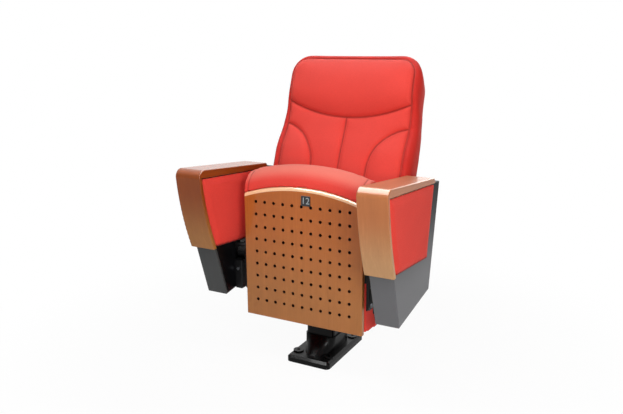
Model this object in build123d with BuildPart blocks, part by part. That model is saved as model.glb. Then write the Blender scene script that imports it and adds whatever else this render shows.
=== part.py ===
from build123d import *
import os
from math import cos, pi, radians, sin, sqrt

# Tip up auditorium seat on a single pedestal, seat tipped up.
# Millimetres. +X is to the right seen from in front, +Y to the rear, +Z up.
# The origin is on the floor, in the middle of the four floor bolts.
# "right" and "left" are as seen from in front.

# ---------------------------------------------------------------- overall sizes
CENTRES = 590.0            # arm centre line to arm centre line
ARM_W = 90.0               # width of the bent wood armrest
STEEL_W = 74.0             # width of the sheet steel side standard
ARM_X = CENTRES / 2        # centre line of the right arm
WOOD_IN = ARM_X - ARM_W / 2
STEEL_IN = ARM_X - STEEL_W / 2
STEEL_OUT = ARM_X + STEEL_W / 2
FIT = 0.3                  # gap between curved or soft neighbours
SEAM_GAP = 0.5             # gap round a part let into another

# ---------------------------------------------------------------- floor casting
BOLT_X = 110.0             # floor bolt spacing across
BOLT_Y = 180.0             # floor bolt spacing fore and aft
BOLT_HOLE_R = 5.5
BOSS_R = 17.0
BOSS_H = 4.0
FOOT_W = BOLT_X + 42.0
FOOT_L = BOLT_Y + 90.0
FOOT_T = 22.0
FOOT_CORNER = 14.0
FOOT_BEVEL = 7.0
BOOT_Z = 70.0              # top of the flared socket round the column
BOOT_HALF_Y = 121.0
BOOT_WALL = 4.0

# ---------------------------------------------------------------- column and beam
COL_W = 100.0
COL_WALL = 3.0
COL_FRONT = -48.0
COL_REAR = 70.0
COL_KINK_Z = 100.0         # above this the column rakes back
COL_CORNER = 14.0
BOOT_HALF_X = COL_W / 2 + 2
HEAD_T = 8.0               # plate on top of the column
HEAD_L = 71.0
HEAD_CORNER = 7.0
BEAM = 50.0                # square beam, outside
BEAM_WALL = 3.0
BEAM_Y = 120.0
BEAM_Z = 238.0             # centre of the beam
BEAM_BOLT_R = 5.0
BEAM_BOLT_HEAD_R = 9.0
BEAM_NUT_T = 8.0
BEAM_BOLT_X = COL_W / 2 + 22
HEAD_W = 2 * (BEAM_BOLT_X + 18)
BRACKET_T = 6.0            # bolted plate between beam and standard
BRACKET_FRONT = -40.0
BRACKET_TOP = 328.0
BRACKET_LOW = 262.0
BRACKET_EDGE = 3.0         # how far it stands out round the beam

# ---------------------------------------------------------------- side standard, seen from the side (y, z)
STD_FRONT_LOW = (-196.0, 218.0)
STD_REAR_LOW = (53.0, 254.0)
STD_REAR_TOP_Y = 121.0
STD_WALL = 2.0
STRIP_W = 74.0             # bare steel left behind the upholstered panels
APRON_LOW = (-263.0, 386.0)
APRON_MID = (-302.0, 505.0)
APRON_TOP = (-323.0, 643.0)
APRON_T = 14.0             # wood thickness down the front
RAIL_END_TOP = (48.0, 608.0)
RAIL_END_LOW = (62.0, 590.0)
RAIL_T_FRONT = 23.0
RAIL_NOSE_R = 24.0
RAIL_FALL = 3.0            # the rail's underside drops this much more inside the bend
RAIL_SCREW_L = 13.0        # length of an armrest screw in the wood
WOOD_EDGE_R = 3.0

# ---------------------------------------------------------------- upholstered side panels
BOARD_T = 3.0
PAD_T = 5.0
PAD_EDGE_R = 3.5
PAD_TURN = 1.0             # the cover turns round the board's edge by this much
PANEL_GAP = 2.0            # shadow gap round each panel
PANEL_CORNER_R = 5.0
PANEL_LOW_FRONT_Z = 393.0
PANEL_LOW_REAR_Z = 371.0
COVER_T = 3.0              # black cover low on the inner side
COVER_INSET = 7.0

# ---------------------------------------------------------------- hinge
PIVOT_Y = -120.0
PIVOT_Z = 345.0
TIP_ANGLE = 87.0           # from tipped up to sitting
RUNNING = 0.05             # radial clearance of the shaft in its bushes
SHAFT_R = 8.0
SHAFT_END = STEEL_IN + 10  # inside the standard
CLIP_X = SHAFT_END - 5
CLIP_R = SHAFT_R + 3
CLIP_T = 1.5
CLIP_GROOVE = 1.0
BUSH_WALL = 2.5
BUSH_R = SHAFT_R + BUSH_WALL
BUSH_COLLAR_R = BUSH_R + BUSH_WALL
BUSH_COLLAR_T = 1.5
ARBOR_R = SHAFT_R + 2.4    # thicker middle that the spring sits on
SPRING_WIRE = 3.0
SPRING_TURNS = 3
SPRING_TAIL = 5.5
SPRING_PITCH = 4.4
SPRING_PLAY = 0.6          # radial room inside the spring
SPRING_R = ARBOR_R + SPRING_PLAY + SPRING_WIRE / 2     # mean radius
HUB_WALL = 4.0
HUB_BORE_R = SPRING_R + 3.1
HUB_R = HUB_BORE_R + 2.9
HUB_IN = STEEL_IN - 32     # inner face of the hinge hub
ANGLE_T = 4.0              # plated angle that carries the hub
ANGLE_FRONT = -150.0
ANGLE_REAR = -72.0
ANGLE_LOW = 240.0
ANGLE_LOW_FRONT = -140.0   # narrower where the black box goes over it
SHELF_REAR = -108.0
SHELF_Z = PIVOT_Z - HUB_R - 4.5     # underside of the angle's shelf
BOX_IN = HUB_IN + 3        # inner face of the black box under the hub
BOX_FRONT = -148.0
BOX_REAR = -60.0
BOX_LOW = 226.0
BOX_WALL = 3.0
BOX_SCREW = (BOX_IN + 15, SHELF_Z - 30)     # (x, z) on the front of the box
BUFFER_IN = HUB_IN + 10
BUFFER_R = 5.0
BUFFER_EDGE_R = 1.0
BUFFER_GAP = 0.2
STOP_PIN_R = 4.0
STOP_R = HUB_R + BUFFER_R + 6.5     # stop pin, distance from the pivot
STOP_UP_ANGLE = -18.0      # where the pin stands when tipped up
STOP_PIN_OUT = BUFFER_IN + 8
BOLT_R = 4.0               # bolts of the brackets and of the hinge
BOLT_HEAD_R = BOLT_R + 2.5
BOLT_HEAD_T = 5.0
BOLT_PLAY = 0.25           # radial play of bolts and screws in their holes
SCREW_R = 2.5
SCREW_HEAD_R = SCREW_R + 2.5
SCREW_TIP = 2.0            # wood left beyond a screw's tip

# ---------------------------------------------------------------- tip up seat, in its tipped up place
SEAT_FRONT = -163.0        # face of the perforated panel
SEAT_LOW = 153.0
SEAT_HALF = STEEL_IN - 56
SEAT_CORNER_Z = 551.0
SEAT_ARCH = 34.0           # rise of the arched top edge
PANEL_T = 15.0
PANEL_EDGE_R = 1.5
ARCH_EDGE_R = 9.0          # the arched top edge is well rounded
HOLE_R = 5.0
HOLE_PITCH_X = 32.0
HOLE_PITCH_Z = 40.0
HOLE_COLUMNS = 11
HOLE_ROWS = 9
HOLE_MID_Z = 368.0
PLATE_X = 16.0             # seat number plate
PLATE_Z = 547.0
PLATE_SIZE = 31.0
PLATE_T = 2.0
FRAME_T = 4.0              # flat steel of the seat frame
FRAME_BAR = 60.0
FRAME_RAIL_X = 150.0
FRAME_RAIL_W = 36.0
FRAME_RAIL_LOW = 200.0
FRAME_RAIL_TOP = 520.0
WEB_IN = STEEL_IN - 46     # inner face of the side plate bolted to the lug
LUG_IN = WEB_IN - FRAME_T  # turned lug at each end of the frame
WEB_T = 4.0
WEB_R = STOP_R             # round end of the side plate about the pivot
WEB_REAR = -112.0
WEB_LOW = 230.0
WEB_BOLTS = [(-130.0, 243.0), (-130.0, 300.0)]     # (y, z)
INNER_T = 10.0             # seat board under the foam
INNER_HALF = SEAT_HALF - 6
CUSHION_HALF = SEAT_HALF + 3
CUSHION_BACK = -143.5      # where the foam begins behind the panel and frame
CUSHION_FACE = -34.0       # sitting face at the sides
CUSHION_SIDE_R = 18.0
NOSE_FRONT = -160.0
NOSE_MID = -95.0
NOSE_SPRING_Z = 560.0      # where the sitting face turns into the nose
NOSE_LIP_Z = 592.0
NOSE_SHOULDER = (-47.0, 621.0)      # (y, z) on the round of the nose
NOSE_BROW = (-141.0, 630.0)
CUSHION_CROWN = 8.0
CUSHION_TOP = 645.0        # nose, at the middle
CUSHION_LOW = 148.0
CUSHION_TUCK_Y = -60.0     # the cover's lower edge slopes up from here to the panel

# ---------------------------------------------------------------- back, in its own raked plane
BACK_Y = 102.0             # seam plane at height BACK_Z
BACK_Z = 601.0
RAKE = 20.6                # degrees from upright
BACK_LOW = -154.0
BACK_TOP = 381.0
BACK_HALF_LOW = STEEL_IN - 10
BACK_HALF_TOP = STEEL_IN - 23
BACK_WAIST = 60.0          # the sides draw in from here up to the shoulder
BACK_SHOULDER = 240.0
BACK_CORNER_R = 112.0
BACK_WAIST_R = 30.0
BACK_FOOT_R = 16.0
HEAD_SEAM_R = 526.0        # the headrest seam dips in the middle
HEAD_SEAM_V = 168.0
SIDE_SEAM_R = 147.5        # the curved seams of the side bolsters
SIDE_SEAM_X = BACK_HALF_LOW - 2
SIDE_SEAM_V = -5.0
FOAM_T = 64.0              # behind the seam plane
FOAM_TAPER = 5.0           # degrees: the sides draw in towards the rear
FOAM_EDGE_R = 12.0         # the gusset turns into the front
PUFF_T = 22.0              # the padded fields in front of it
HEAD_IN = 15.0             # the headrest stays in from the sides by this much
HEAD_CORNER_R = 70.0
FIELD_IN = 23.0            # and the fields under it by this much
SEWN_GAP = 5.0
PUFF_CORNER_R = 12.0
PUFF_EDGE_R = 9.0
PUFF_SINK = 1.0            # the fields run into the foam behind by this much
INNER_BACK_T = 10.0
BOARD_INSET = 13.0
BACK_FLANGE_T = 4.0
BACK_FLANGE_IN = STEEL_IN - 68      # the flange reaches in to this far from the middle
BACK_FLANGE_LOW = -138.0
BACK_FLANGE_TOP = -44.0
FLANGE_SCREW_IN = 16.0     # screw to the flange's upper and lower edge
REAR_PANEL_T = 10.0
REAR_INSET = 9.0
REAR_SCREWS = [(x, v) for x in (-150.0, 150.0) for v in (-20.0, 150.0, BACK_TOP - 58)]


# ================================================================ helpers
def front_plane(y):
    """A plane facing forward at depth y, with sketches in (x, z)."""
    return Plane.XZ.offset(-y)


def side_plane(x):
    """A plane facing +X at x, with sketches in (y, z)."""
    return Plane.YZ.offset(x)


def save(part, name):
    """Name one finished piece and write it."""
    part.label = name
    export_step(part, f"parts/{name}.step")


def save_pair(part, name):
    """Write the right hand piece and its mirror image on the left."""
    save(part, f"{name}_right")
    save(mirror(part, about=Plane.YZ), f"{name}_left")


def on_line(a, b, y):
    """Height at depth y on the line through the side-view points a and b."""
    return a[1] + (b[1] - a[1]) * (y - a[0]) / (b[0] - a[0])


def shift(point, dy, dz=0.0):
    """A side-view point moved by dy and dz."""
    return (point[0] + dy, point[1] + dz)


def about_pivot(radius, angle):
    """A side-view point at a radius and angle (from +Y) round the pivot."""
    return (PIVOT_Y + radius * cos(radians(angle)), PIVOT_Z + radius * sin(radians(angle)))


BACK_PLANE = Plane(
    origin=(0, BACK_Y, BACK_Z),
    x_dir=(1, 0, 0),
    z_dir=(0, -cos(radians(RAKE)), sin(radians(RAKE))),
)

# Corners of the arm in side view, worked out from the sizes above.
APRON_IN_LOW = shift(APRON_LOW, APRON_T)
APRON_IN_MID = shift(APRON_MID, APRON_T)
RAIL_LOW_FRONT = shift(APRON_TOP, APRON_T, -RAIL_T_FRONT - RAIL_FALL)
STD_REAR_TOP = (STD_REAR_TOP_Y, on_line(RAIL_LOW_FRONT, RAIL_END_LOW, STD_REAR_TOP_Y))
STRIP_TOP_Y = STD_REAR_TOP_Y - STRIP_W
STRIP_LOW_Y = on_line((STD_REAR_LOW[1], STD_REAR_LOW[0]), (STD_REAR_TOP[1], STD_REAR_TOP[0]),
                      PANEL_LOW_REAR_Z) - STRIP_W


def panel_low(y):
    """Height of the lower edge of the upholstered side panels at depth y."""
    return on_line((APRON_IN_LOW[0], PANEL_LOW_FRONT_Z), (STRIP_LOW_Y, PANEL_LOW_REAR_Z), y)


# Centre and radius of the arched top edge of the seat panel, in front view.
ARCH_R = (SEAT_HALF ** 2 + SEAT_ARCH ** 2) / (2 * SEAT_ARCH)
ARCH_Z = SEAT_CORNER_Z + SEAT_ARCH - ARCH_R


# ================================================================ outlines used by several pieces
def standard_sketch(inset=0.0):
    """Side view of the steel standard: pointed foot, raked rear, curved front."""
    with BuildSketch(Plane.XY) as outline:
        with BuildLine():
            Polyline(APRON_IN_LOW, STD_FRONT_LOW, STD_REAR_LOW, STD_REAR_TOP, RAIL_LOW_FRONT)
            ThreePointArc(RAIL_LOW_FRONT, APRON_IN_MID, APRON_IN_LOW)
        make_face()
        if inset > 0:
            offset(amount=-inset, mode=Mode.REPLACE)
    return outline.sketch


def panel_sketch(inset):
    """Side view of an upholstered panel, inset from the wood and the rail."""
    with BuildSketch(Plane.XY) as outline:
        add(standard_sketch(inset))
        far, above = APRON_TOP
        top_y = on_line((PANEL_LOW_REAR_Z, STRIP_LOW_Y), (STD_REAR_TOP[1], STRIP_TOP_Y), above)
        with BuildLine():
            Polyline((far, panel_low(far)), (STRIP_LOW_Y, PANEL_LOW_REAR_Z), (top_y, above), (far, above),
                     close=True)
        make_face(mode=Mode.INTERSECT)
        fillet(outline.vertices(), PANEL_CORNER_R)
    return outline.sketch


def cover_sketch():
    """Side view of the black cover below the inner upholstered panel."""
    with BuildSketch(Plane.XY) as outline:
        add(standard_sketch(COVER_INSET))
        front = APRON_TOP[0]
        rear = BRACKET_FRONT - PANEL_GAP
        with BuildLine():
            Polyline((front, panel_low(front) - PANEL_GAP), (rear, panel_low(rear) - PANEL_GAP), (rear, 0),
                     (front, 0), close=True)
        make_face(mode=Mode.INTERSECT)
    return outline.sketch


def seat_sketch(half, low, arch_r):
    """Front view of a seat board: straight sides and bottom, arched top."""
    with BuildSketch(Plane.XY) as outline:
        with Locations((0, ARCH_Z)):
            Circle(arch_r)
        with Locations((0, low)):
            Rectangle(2 * half, 2 * arch_r, align=(Align.CENTER, Align.MIN), mode=Mode.INTERSECT)
    return outline.sketch


def back_sketch(grow=0.0, corner_r=BACK_CORNER_R):
    """Outline of the back in its raked plane, grown or (if negative) drawn in."""
    with BuildSketch(Plane.XY) as outline:
        with BuildLine():
            Polyline((-BACK_HALF_LOW, BACK_LOW), (BACK_HALF_LOW, BACK_LOW), (BACK_HALF_LOW, BACK_WAIST),
                     (BACK_HALF_TOP, BACK_SHOULDER), (BACK_HALF_TOP, BACK_TOP), (-BACK_HALF_TOP, BACK_TOP),
                     (-BACK_HALF_TOP, BACK_SHOULDER), (-BACK_HALF_LOW, BACK_WAIST), close=True)
        make_face()
        fillet(outline.vertices().group_by(Axis.Y)[-1], corner_r)
        fillet(outline.vertices().filter_by_position(Axis.Y, -1, BACK_SHOULDER + 1), BACK_WAIST_R)
        fillet(outline.vertices().group_by(Axis.Y)[0], BACK_FOOT_R)
        if grow != 0:
            offset(amount=grow, mode=Mode.REPLACE)
    return outline.sketch


def back_point(v, behind):
    """Side-view point at v along the raked back and a distance behind its seam plane."""
    rake = radians(RAKE)
    return (BACK_Y + v * sin(rake) + behind * cos(rake), BACK_Z + v * cos(rake) - behind * sin(rake))


# ================================================================ pedestal
def foot_casting():
    """Cast foot: bevelled plate, four bosses, socket for the column with a flare fore and aft."""
    column_mid = (COL_FRONT + COL_REAR) / 2
    with BuildPart() as foot:
        with BuildSketch(Plane.XY):
            RectangleRounded(FOOT_W, FOOT_L, FOOT_CORNER)
        extrude(amount=FOOT_T)
        chamfer(foot.faces().sort_by(Axis.Z)[-1].edges(), FOOT_BEVEL)
        with BuildSketch(Plane.XY.offset(FOOT_BEVEL)):
            with GridLocations(BOLT_X, BOLT_Y, 2, 2):
                Circle(BOSS_R)
        extrude(amount=FOOT_T - FOOT_BEVEL + BOSS_H)
        with BuildSketch(Plane.XY.offset(FOOT_T / 2)):
            Ellipse(BOOT_HALF_X, BOOT_HALF_Y)
        with BuildSketch(Plane.XY.offset(BOOT_Z)):
            with Locations((0, column_mid)):
                RectangleRounded(COL_W + 2 * BOOT_WALL, COL_REAR - COL_FRONT + 2 * BOOT_WALL,
                                 COL_CORNER + BOOT_WALL)
        loft(ruled=True)
        with BuildSketch(Plane.XY.offset(FOOT_T)):
            with Locations((0, column_mid)):
                RectangleRounded(COL_W + SEAM_GAP, COL_REAR - COL_FRONT + SEAM_GAP, COL_CORNER)
        extrude(amount=BOOT_Z, mode=Mode.SUBTRACT)
        with BuildSketch(Plane.XY):
            with GridLocations(BOLT_X, BOLT_Y, 2, 2):
                Circle(BOLT_HOLE_R)
        extrude(amount=FOOT_T + BOOT_Z, mode=Mode.SUBTRACT)
    save(foot.part, "foot_casting")


def column_sketch(inset=0.0):
    """Side view of the column: upright at the foot, then raked back to the beam."""
    beam_low = BEAM_Z - BEAM / 2 - HEAD_T
    with BuildSketch(Plane.XY) as outline:
        with BuildLine():
            Polyline((COL_FRONT, FOOT_T), (COL_FRONT, COL_KINK_Z), (BEAM_Y - HEAD_L / 2, beam_low),
                     (BEAM_Y + HEAD_L / 2, beam_low), (COL_REAR, BOOT_Z), (COL_REAR, FOOT_T), close=True)
        make_face()
        if inset > 0:
            offset(amount=-inset, mode=Mode.REPLACE)
    return outline.sketch


def pedestal_column():
    """Welded box column with the bolting plate on its head."""
    head_z = BEAM_Z - BEAM / 2 - HEAD_T
    with BuildPart() as column:
        with BuildSketch(side_plane(-COL_W / 2)):
            add(column_sketch())
        extrude(amount=COL_W)
        ends = column.faces().filter_by(Axis.X).edges()
        long_edges = ends.filter_by(lambda e: FOOT_T < e.center().Z < head_z - 0.01)
        fillet(long_edges.filter_by(lambda e: e.center().Z > FOOT_T + 0.01), COL_CORNER)
        with BuildSketch(side_plane(-COL_W / 2 + COL_WALL)):
            add(column_sketch(COL_WALL))
        extrude(amount=COL_W - 2 * COL_WALL, mode=Mode.SUBTRACT)
        with BuildSketch(Plane.XY.offset(head_z)):
            with Locations((0, BEAM_Y)):
                RectangleRounded(HEAD_W, HEAD_L, HEAD_CORNER)
        extrude(amount=HEAD_T)
        with BuildSketch(Plane.XY.offset(head_z)):
            with Locations((-BEAM_BOLT_X, BEAM_Y), (BEAM_BOLT_X, BEAM_Y)):
                Circle(BEAM_BOLT_R + BOLT_PLAY)
        extrude(amount=HEAD_T, mode=Mode.SUBTRACT)
    save(column.part, "pedestal_column")


def crossbeam():
    """Square tube between the two beam brackets."""
    half = STEEL_IN - BRACKET_T
    with BuildPart() as beam:
        with BuildSketch(side_plane(-half)):
            with Locations((BEAM_Y, BEAM_Z)):
                RectangleRounded(BEAM, BEAM, 2 * BEAM_WALL)
                RectangleRounded(BEAM - 2 * BEAM_WALL, BEAM - 2 * BEAM_WALL, BEAM_WALL, mode=Mode.SUBTRACT)
        extrude(amount=2 * half)
        with BuildSketch(Plane.XY.offset(BEAM_Z - BEAM)):
            with Locations((-BEAM_BOLT_X, BEAM_Y), (BEAM_BOLT_X, BEAM_Y)):
                Circle(BEAM_BOLT_R + BOLT_PLAY)
        extrude(amount=2 * BEAM, mode=Mode.SUBTRACT)
    save(beam.part, "crossbeam")

    low = BEAM_Z - BEAM / 2 - HEAD_T
    high = BEAM_Z + BEAM / 2
    with BuildPart() as bolts:
        with BuildSketch(Plane.XY.offset(low - BOLT_HEAD_T)):
            with Locations((-BEAM_BOLT_X, BEAM_Y), (BEAM_BOLT_X, BEAM_Y)):
                RegularPolygon(BEAM_BOLT_HEAD_R, 6)
        extrude(amount=BOLT_HEAD_T)
        with BuildSketch(Plane.XY.offset(low)):
            with Locations((-BEAM_BOLT_X, BEAM_Y), (BEAM_BOLT_X, BEAM_Y)):
                Circle(BEAM_BOLT_R)
        extrude(amount=high - low + 2 * BOLT_HEAD_T)
    save(bolts.part, "beam_bolts")

    with BuildPart() as nuts:
        with BuildSketch(Plane.XY.offset(high)):
            with Locations((-BEAM_BOLT_X, BEAM_Y), (BEAM_BOLT_X, BEAM_Y)):
                RegularPolygon(BEAM_BOLT_HEAD_R, 6)
                Circle(BEAM_BOLT_R + RUNNING, mode=Mode.SUBTRACT)
        extrude(amount=BEAM_NUT_T)
    save(nuts.part, "beam_nuts")


# ================================================================ arms (right hand, mirrored to the left)
BEAM_BRACKET_BOLTS = [(-22.0, 312.0), (22.0, 312.0), (-22.0, 276.0), (22.0, 280.0)]   # (y, z)
HINGE_BOLTS = [(-92.0, 256.0), (-92.0, 300.0), (-122.0, 256.0)]
BACK_BRACKET_BOLTS = [(66.0, 490.0), (86.0, 536.0)]
BACK_BRACKET_TOP = (78.0, 556.0)
BACK_BRACKET_FRONT = (44.0, 456.0)
RAIL_SCREWS_Y = [-240.0, -90.0, 30.0]


def side_standard():
    """Welded sheet steel box, hollow, bored for the hinge and the bolts."""
    with BuildPart() as standard:
        with BuildSketch(side_plane(STEEL_IN)):
            add(standard_sketch())
        extrude(amount=STEEL_W)
        fillet(standard.faces().filter_by(Axis.X).edges(), WOOD_EDGE_R)
        with BuildSketch(side_plane(STEEL_IN + STD_WALL)):
            add(standard_sketch(STD_WALL))
        extrude(amount=STEEL_W - 2 * STD_WALL, mode=Mode.SUBTRACT)
        with BuildSketch(side_plane(STEEL_IN - 1)):
            with Locations((PIVOT_Y, PIVOT_Z)):
                Circle(BUSH_R)
            with Locations(*BEAM_BRACKET_BOLTS, *HINGE_BOLTS, *BACK_BRACKET_BOLTS):
                Circle(BOLT_R + BOLT_PLAY)
        extrude(amount=2 * STD_WALL, mode=Mode.SUBTRACT)
        for plane in rail_screw_planes():
            with BuildSketch(plane):
                Circle(SCREW_R + BOLT_PLAY)
            extrude(amount=2 * STD_WALL, both=True, mode=Mode.SUBTRACT)
    save_pair(standard.part, "side_standard")


def rail_screw_planes():
    """Planes on the underside of the rail, one at each armrest screw."""
    rise = RAIL_END_LOW[1] - RAIL_LOW_FRONT[1]
    run = RAIL_END_LOW[0] - RAIL_LOW_FRONT[0]
    places = [(ARM_X, y, on_line(RAIL_LOW_FRONT, RAIL_END_LOW, y)) for y in RAIL_SCREWS_Y]
    return [Plane(origin=place, x_dir=(1, 0, 0), z_dir=(0, -rise, run)) for place in places]


def armrest():
    """Bent wood: a rail along the top that turns down the front as an apron."""
    with BuildPart() as arm:
        with BuildSketch(side_plane(WOOD_IN)) as profile:
            with BuildLine():
                ThreePointArc(APRON_LOW, APRON_MID, APRON_TOP)
                Polyline(APRON_TOP, RAIL_END_TOP, RAIL_END_LOW, RAIL_LOW_FRONT)
                ThreePointArc(RAIL_LOW_FRONT, APRON_IN_MID, APRON_IN_LOW)
                Line(APRON_IN_LOW, APRON_LOW)
            make_face()
            corner = profile.vertices().sort_by(Axis.Y)[-1]
            fillet(corner, RAIL_NOSE_R)
            fillet(profile.vertices().sort_by(Axis.X)[-1], WOOD_EDGE_R)
        extrude(amount=ARM_W)
        fillet(arm.faces().filter_by(Axis.X).edges(), WOOD_EDGE_R)
        for plane in rail_screw_planes():
            with BuildSketch(plane):
                Circle(SCREW_R)
            extrude(amount=RAIL_SCREW_L + SCREW_TIP, mode=Mode.SUBTRACT)
    save_pair(arm.part, "armrest")

    with BuildPart() as screws:
        for plane in rail_screw_planes():
            under = plane.offset(-STD_WALL)
            with BuildSketch(under.offset(-STD_WALL)):
                Circle(SCREW_HEAD_R)
            extrude(amount=STD_WALL)
            with BuildSketch(under):
                Circle(SCREW_R - RUNNING)
            extrude(amount=STD_WALL + RAIL_SCREW_L)
    save_pair(screws.part, "armrest_screws")


def side_panels():
    """Board and padded cover on both faces of the arm, and the low inner cover."""
    with BuildPart() as outer_board:
        with BuildSketch(side_plane(STEEL_OUT)):
            add(panel_sketch(PANEL_GAP + PAD_TURN))
        extrude(amount=BOARD_T)
    save_pair(outer_board.part, "outer_side_board")

    with BuildPart() as outer_pad:
        with BuildSketch(side_plane(STEEL_OUT + BOARD_T)):
            add(panel_sketch(PANEL_GAP))
        extrude(amount=PAD_T)
        fillet(outer_pad.faces().sort_by(Axis.X)[-1].edges(), PAD_EDGE_R)
    save_pair(outer_pad.part, "outer_side_pad")

    with BuildPart() as inner_board:
        with BuildSketch(side_plane(STEEL_IN - BOARD_T)):
            add(panel_sketch(PANEL_GAP + PAD_TURN))
        extrude(amount=BOARD_T)
    save_pair(inner_board.part, "inner_side_board")

    with BuildPart() as inner_pad:
        with BuildSketch(side_plane(STEEL_IN - BOARD_T - PAD_T)):
            add(panel_sketch(PANEL_GAP))
        extrude(amount=PAD_T)
        fillet(inner_pad.faces().sort_by(Axis.X)[0].edges(), PAD_EDGE_R)
    save_pair(inner_pad.part, "inner_side_pad")

    with BuildPart() as cover:
        with BuildSketch(side_plane(STEEL_IN - COVER_T)):
            add(cover_sketch())
            with Locations((PIVOT_Y, PIVOT_Z)):
                Circle(BUSH_R, mode=Mode.SUBTRACT)
            with Locations(*HINGE_BOLTS):
                Circle(BOLT_R + BOLT_PLAY, mode=Mode.SUBTRACT)
        extrude(amount=COVER_T)
    save_pair(cover.part, "inner_cover")


def beam_bracket():
    """Plate bolted inside the standard and welded to the end of the beam."""
    half = BEAM / 2 + BRACKET_EDGE
    with BuildPart() as bracket:
        with BuildSketch(side_plane(STEEL_IN - BRACKET_T)):
            with BuildLine():
                Polyline((BRACKET_FRONT, BRACKET_LOW), (BRACKET_FRONT, BRACKET_TOP),
                         (-BRACKET_FRONT, BRACKET_TOP), (BEAM_Y + half, BEAM_Z + half),
                         (BEAM_Y + half, BEAM_Z - half), (BEAM_Y - half, BEAM_Z - half), close=True)
            make_face()
            with Locations(*BEAM_BRACKET_BOLTS):
                Circle(BOLT_R + BOLT_PLAY, mode=Mode.SUBTRACT)
        extrude(amount=BRACKET_T)
    save_pair(bracket.part, "beam_bracket")


def back_bracket():
    """Angled plate: web on the standard's rear strip, flange behind the back board."""
    with BuildPart() as bracket:
        with BuildSketch(side_plane(STEEL_IN - BRACKET_T)):
            with BuildLine():
                Polyline(back_point(BACK_FLANGE_LOW, FOAM_T), back_point(BACK_FLANGE_TOP, FOAM_T),
                         BACK_BRACKET_TOP, BACK_BRACKET_FRONT, close=True)
            make_face()
            with Locations(*BACK_BRACKET_BOLTS):
                Circle(BOLT_R + BOLT_PLAY, mode=Mode.SUBTRACT)
        extrude(amount=BRACKET_T)
        with BuildSketch(BACK_PLANE.offset(-FOAM_T)):
            with Locations(((BACK_FLANGE_IN + STEEL_IN) / 2, (BACK_FLANGE_LOW + BACK_FLANGE_TOP) / 2)):
                Rectangle(STEEL_IN - BACK_FLANGE_IN, BACK_FLANGE_TOP - BACK_FLANGE_LOW)
            with Locations(*back_screw_places()):
                Circle(SCREW_R + BOLT_PLAY, mode=Mode.SUBTRACT)
        extrude(amount=BACK_FLANGE_T)
    save_pair(bracket.part, "back_bracket")


def bolt_group(name, places, head_x, nut_x):
    """Bolts through the inner face of both standards: hexagon head, shank and nut."""
    with BuildPart() as bolts:
        with BuildSketch(side_plane(head_x - BOLT_HEAD_T)):
            with Locations(*places):
                RegularPolygon(BOLT_HEAD_R, 6)
        extrude(amount=BOLT_HEAD_T)
        with BuildSketch(side_plane(head_x)):
            with Locations(*places):
                Circle(BOLT_R)
        extrude(amount=nut_x - head_x)
        with BuildSketch(side_plane(nut_x)):
            with Locations(*places):
                RegularPolygon(BOLT_HEAD_R, 6)
        extrude(amount=BOLT_HEAD_T)
        mirror(about=Plane.YZ)
    save(bolts.part, name)


# ================================================================ hinge (right hand, mirrored to the left)
ANGLE_X = STEEL_IN - COVER_T - ANGLE_T     # inner face of the hinge angle


def hinge_angle():
    """Plated angle: a leg on the standard, a shelf over the black box, bored for the hinge."""
    with BuildPart() as angle:
        with BuildSketch(side_plane(ANGLE_X)):
            with BuildLine():
                Polyline((ANGLE_FRONT, SHELF_Z), (ANGLE_FRONT, panel_low(ANGLE_FRONT) - PANEL_GAP / 2),
                         (ANGLE_REAR, panel_low(ANGLE_REAR) - PANEL_GAP / 2), (ANGLE_REAR, ANGLE_LOW),
                         (ANGLE_LOW_FRONT, ANGLE_LOW), (ANGLE_LOW_FRONT, SHELF_Z), close=True)
            make_face()
            with Locations((PIVOT_Y, PIVOT_Z)):
                Circle(BUSH_R, mode=Mode.SUBTRACT)
            with Locations(*HINGE_BOLTS):
                Circle(BOLT_R + BOLT_PLAY, mode=Mode.SUBTRACT)
        extrude(amount=ANGLE_T)
        with BuildSketch(side_plane(BOX_IN)):
            with Locations(((ANGLE_FRONT + SHELF_REAR) / 2, SHELF_Z + ANGLE_T / 2)):
                Rectangle(SHELF_REAR - ANGLE_FRONT, ANGLE_T)
        extrude(amount=ANGLE_X - BOX_IN)
    save_pair(angle.part, "hinge_angle")


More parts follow.
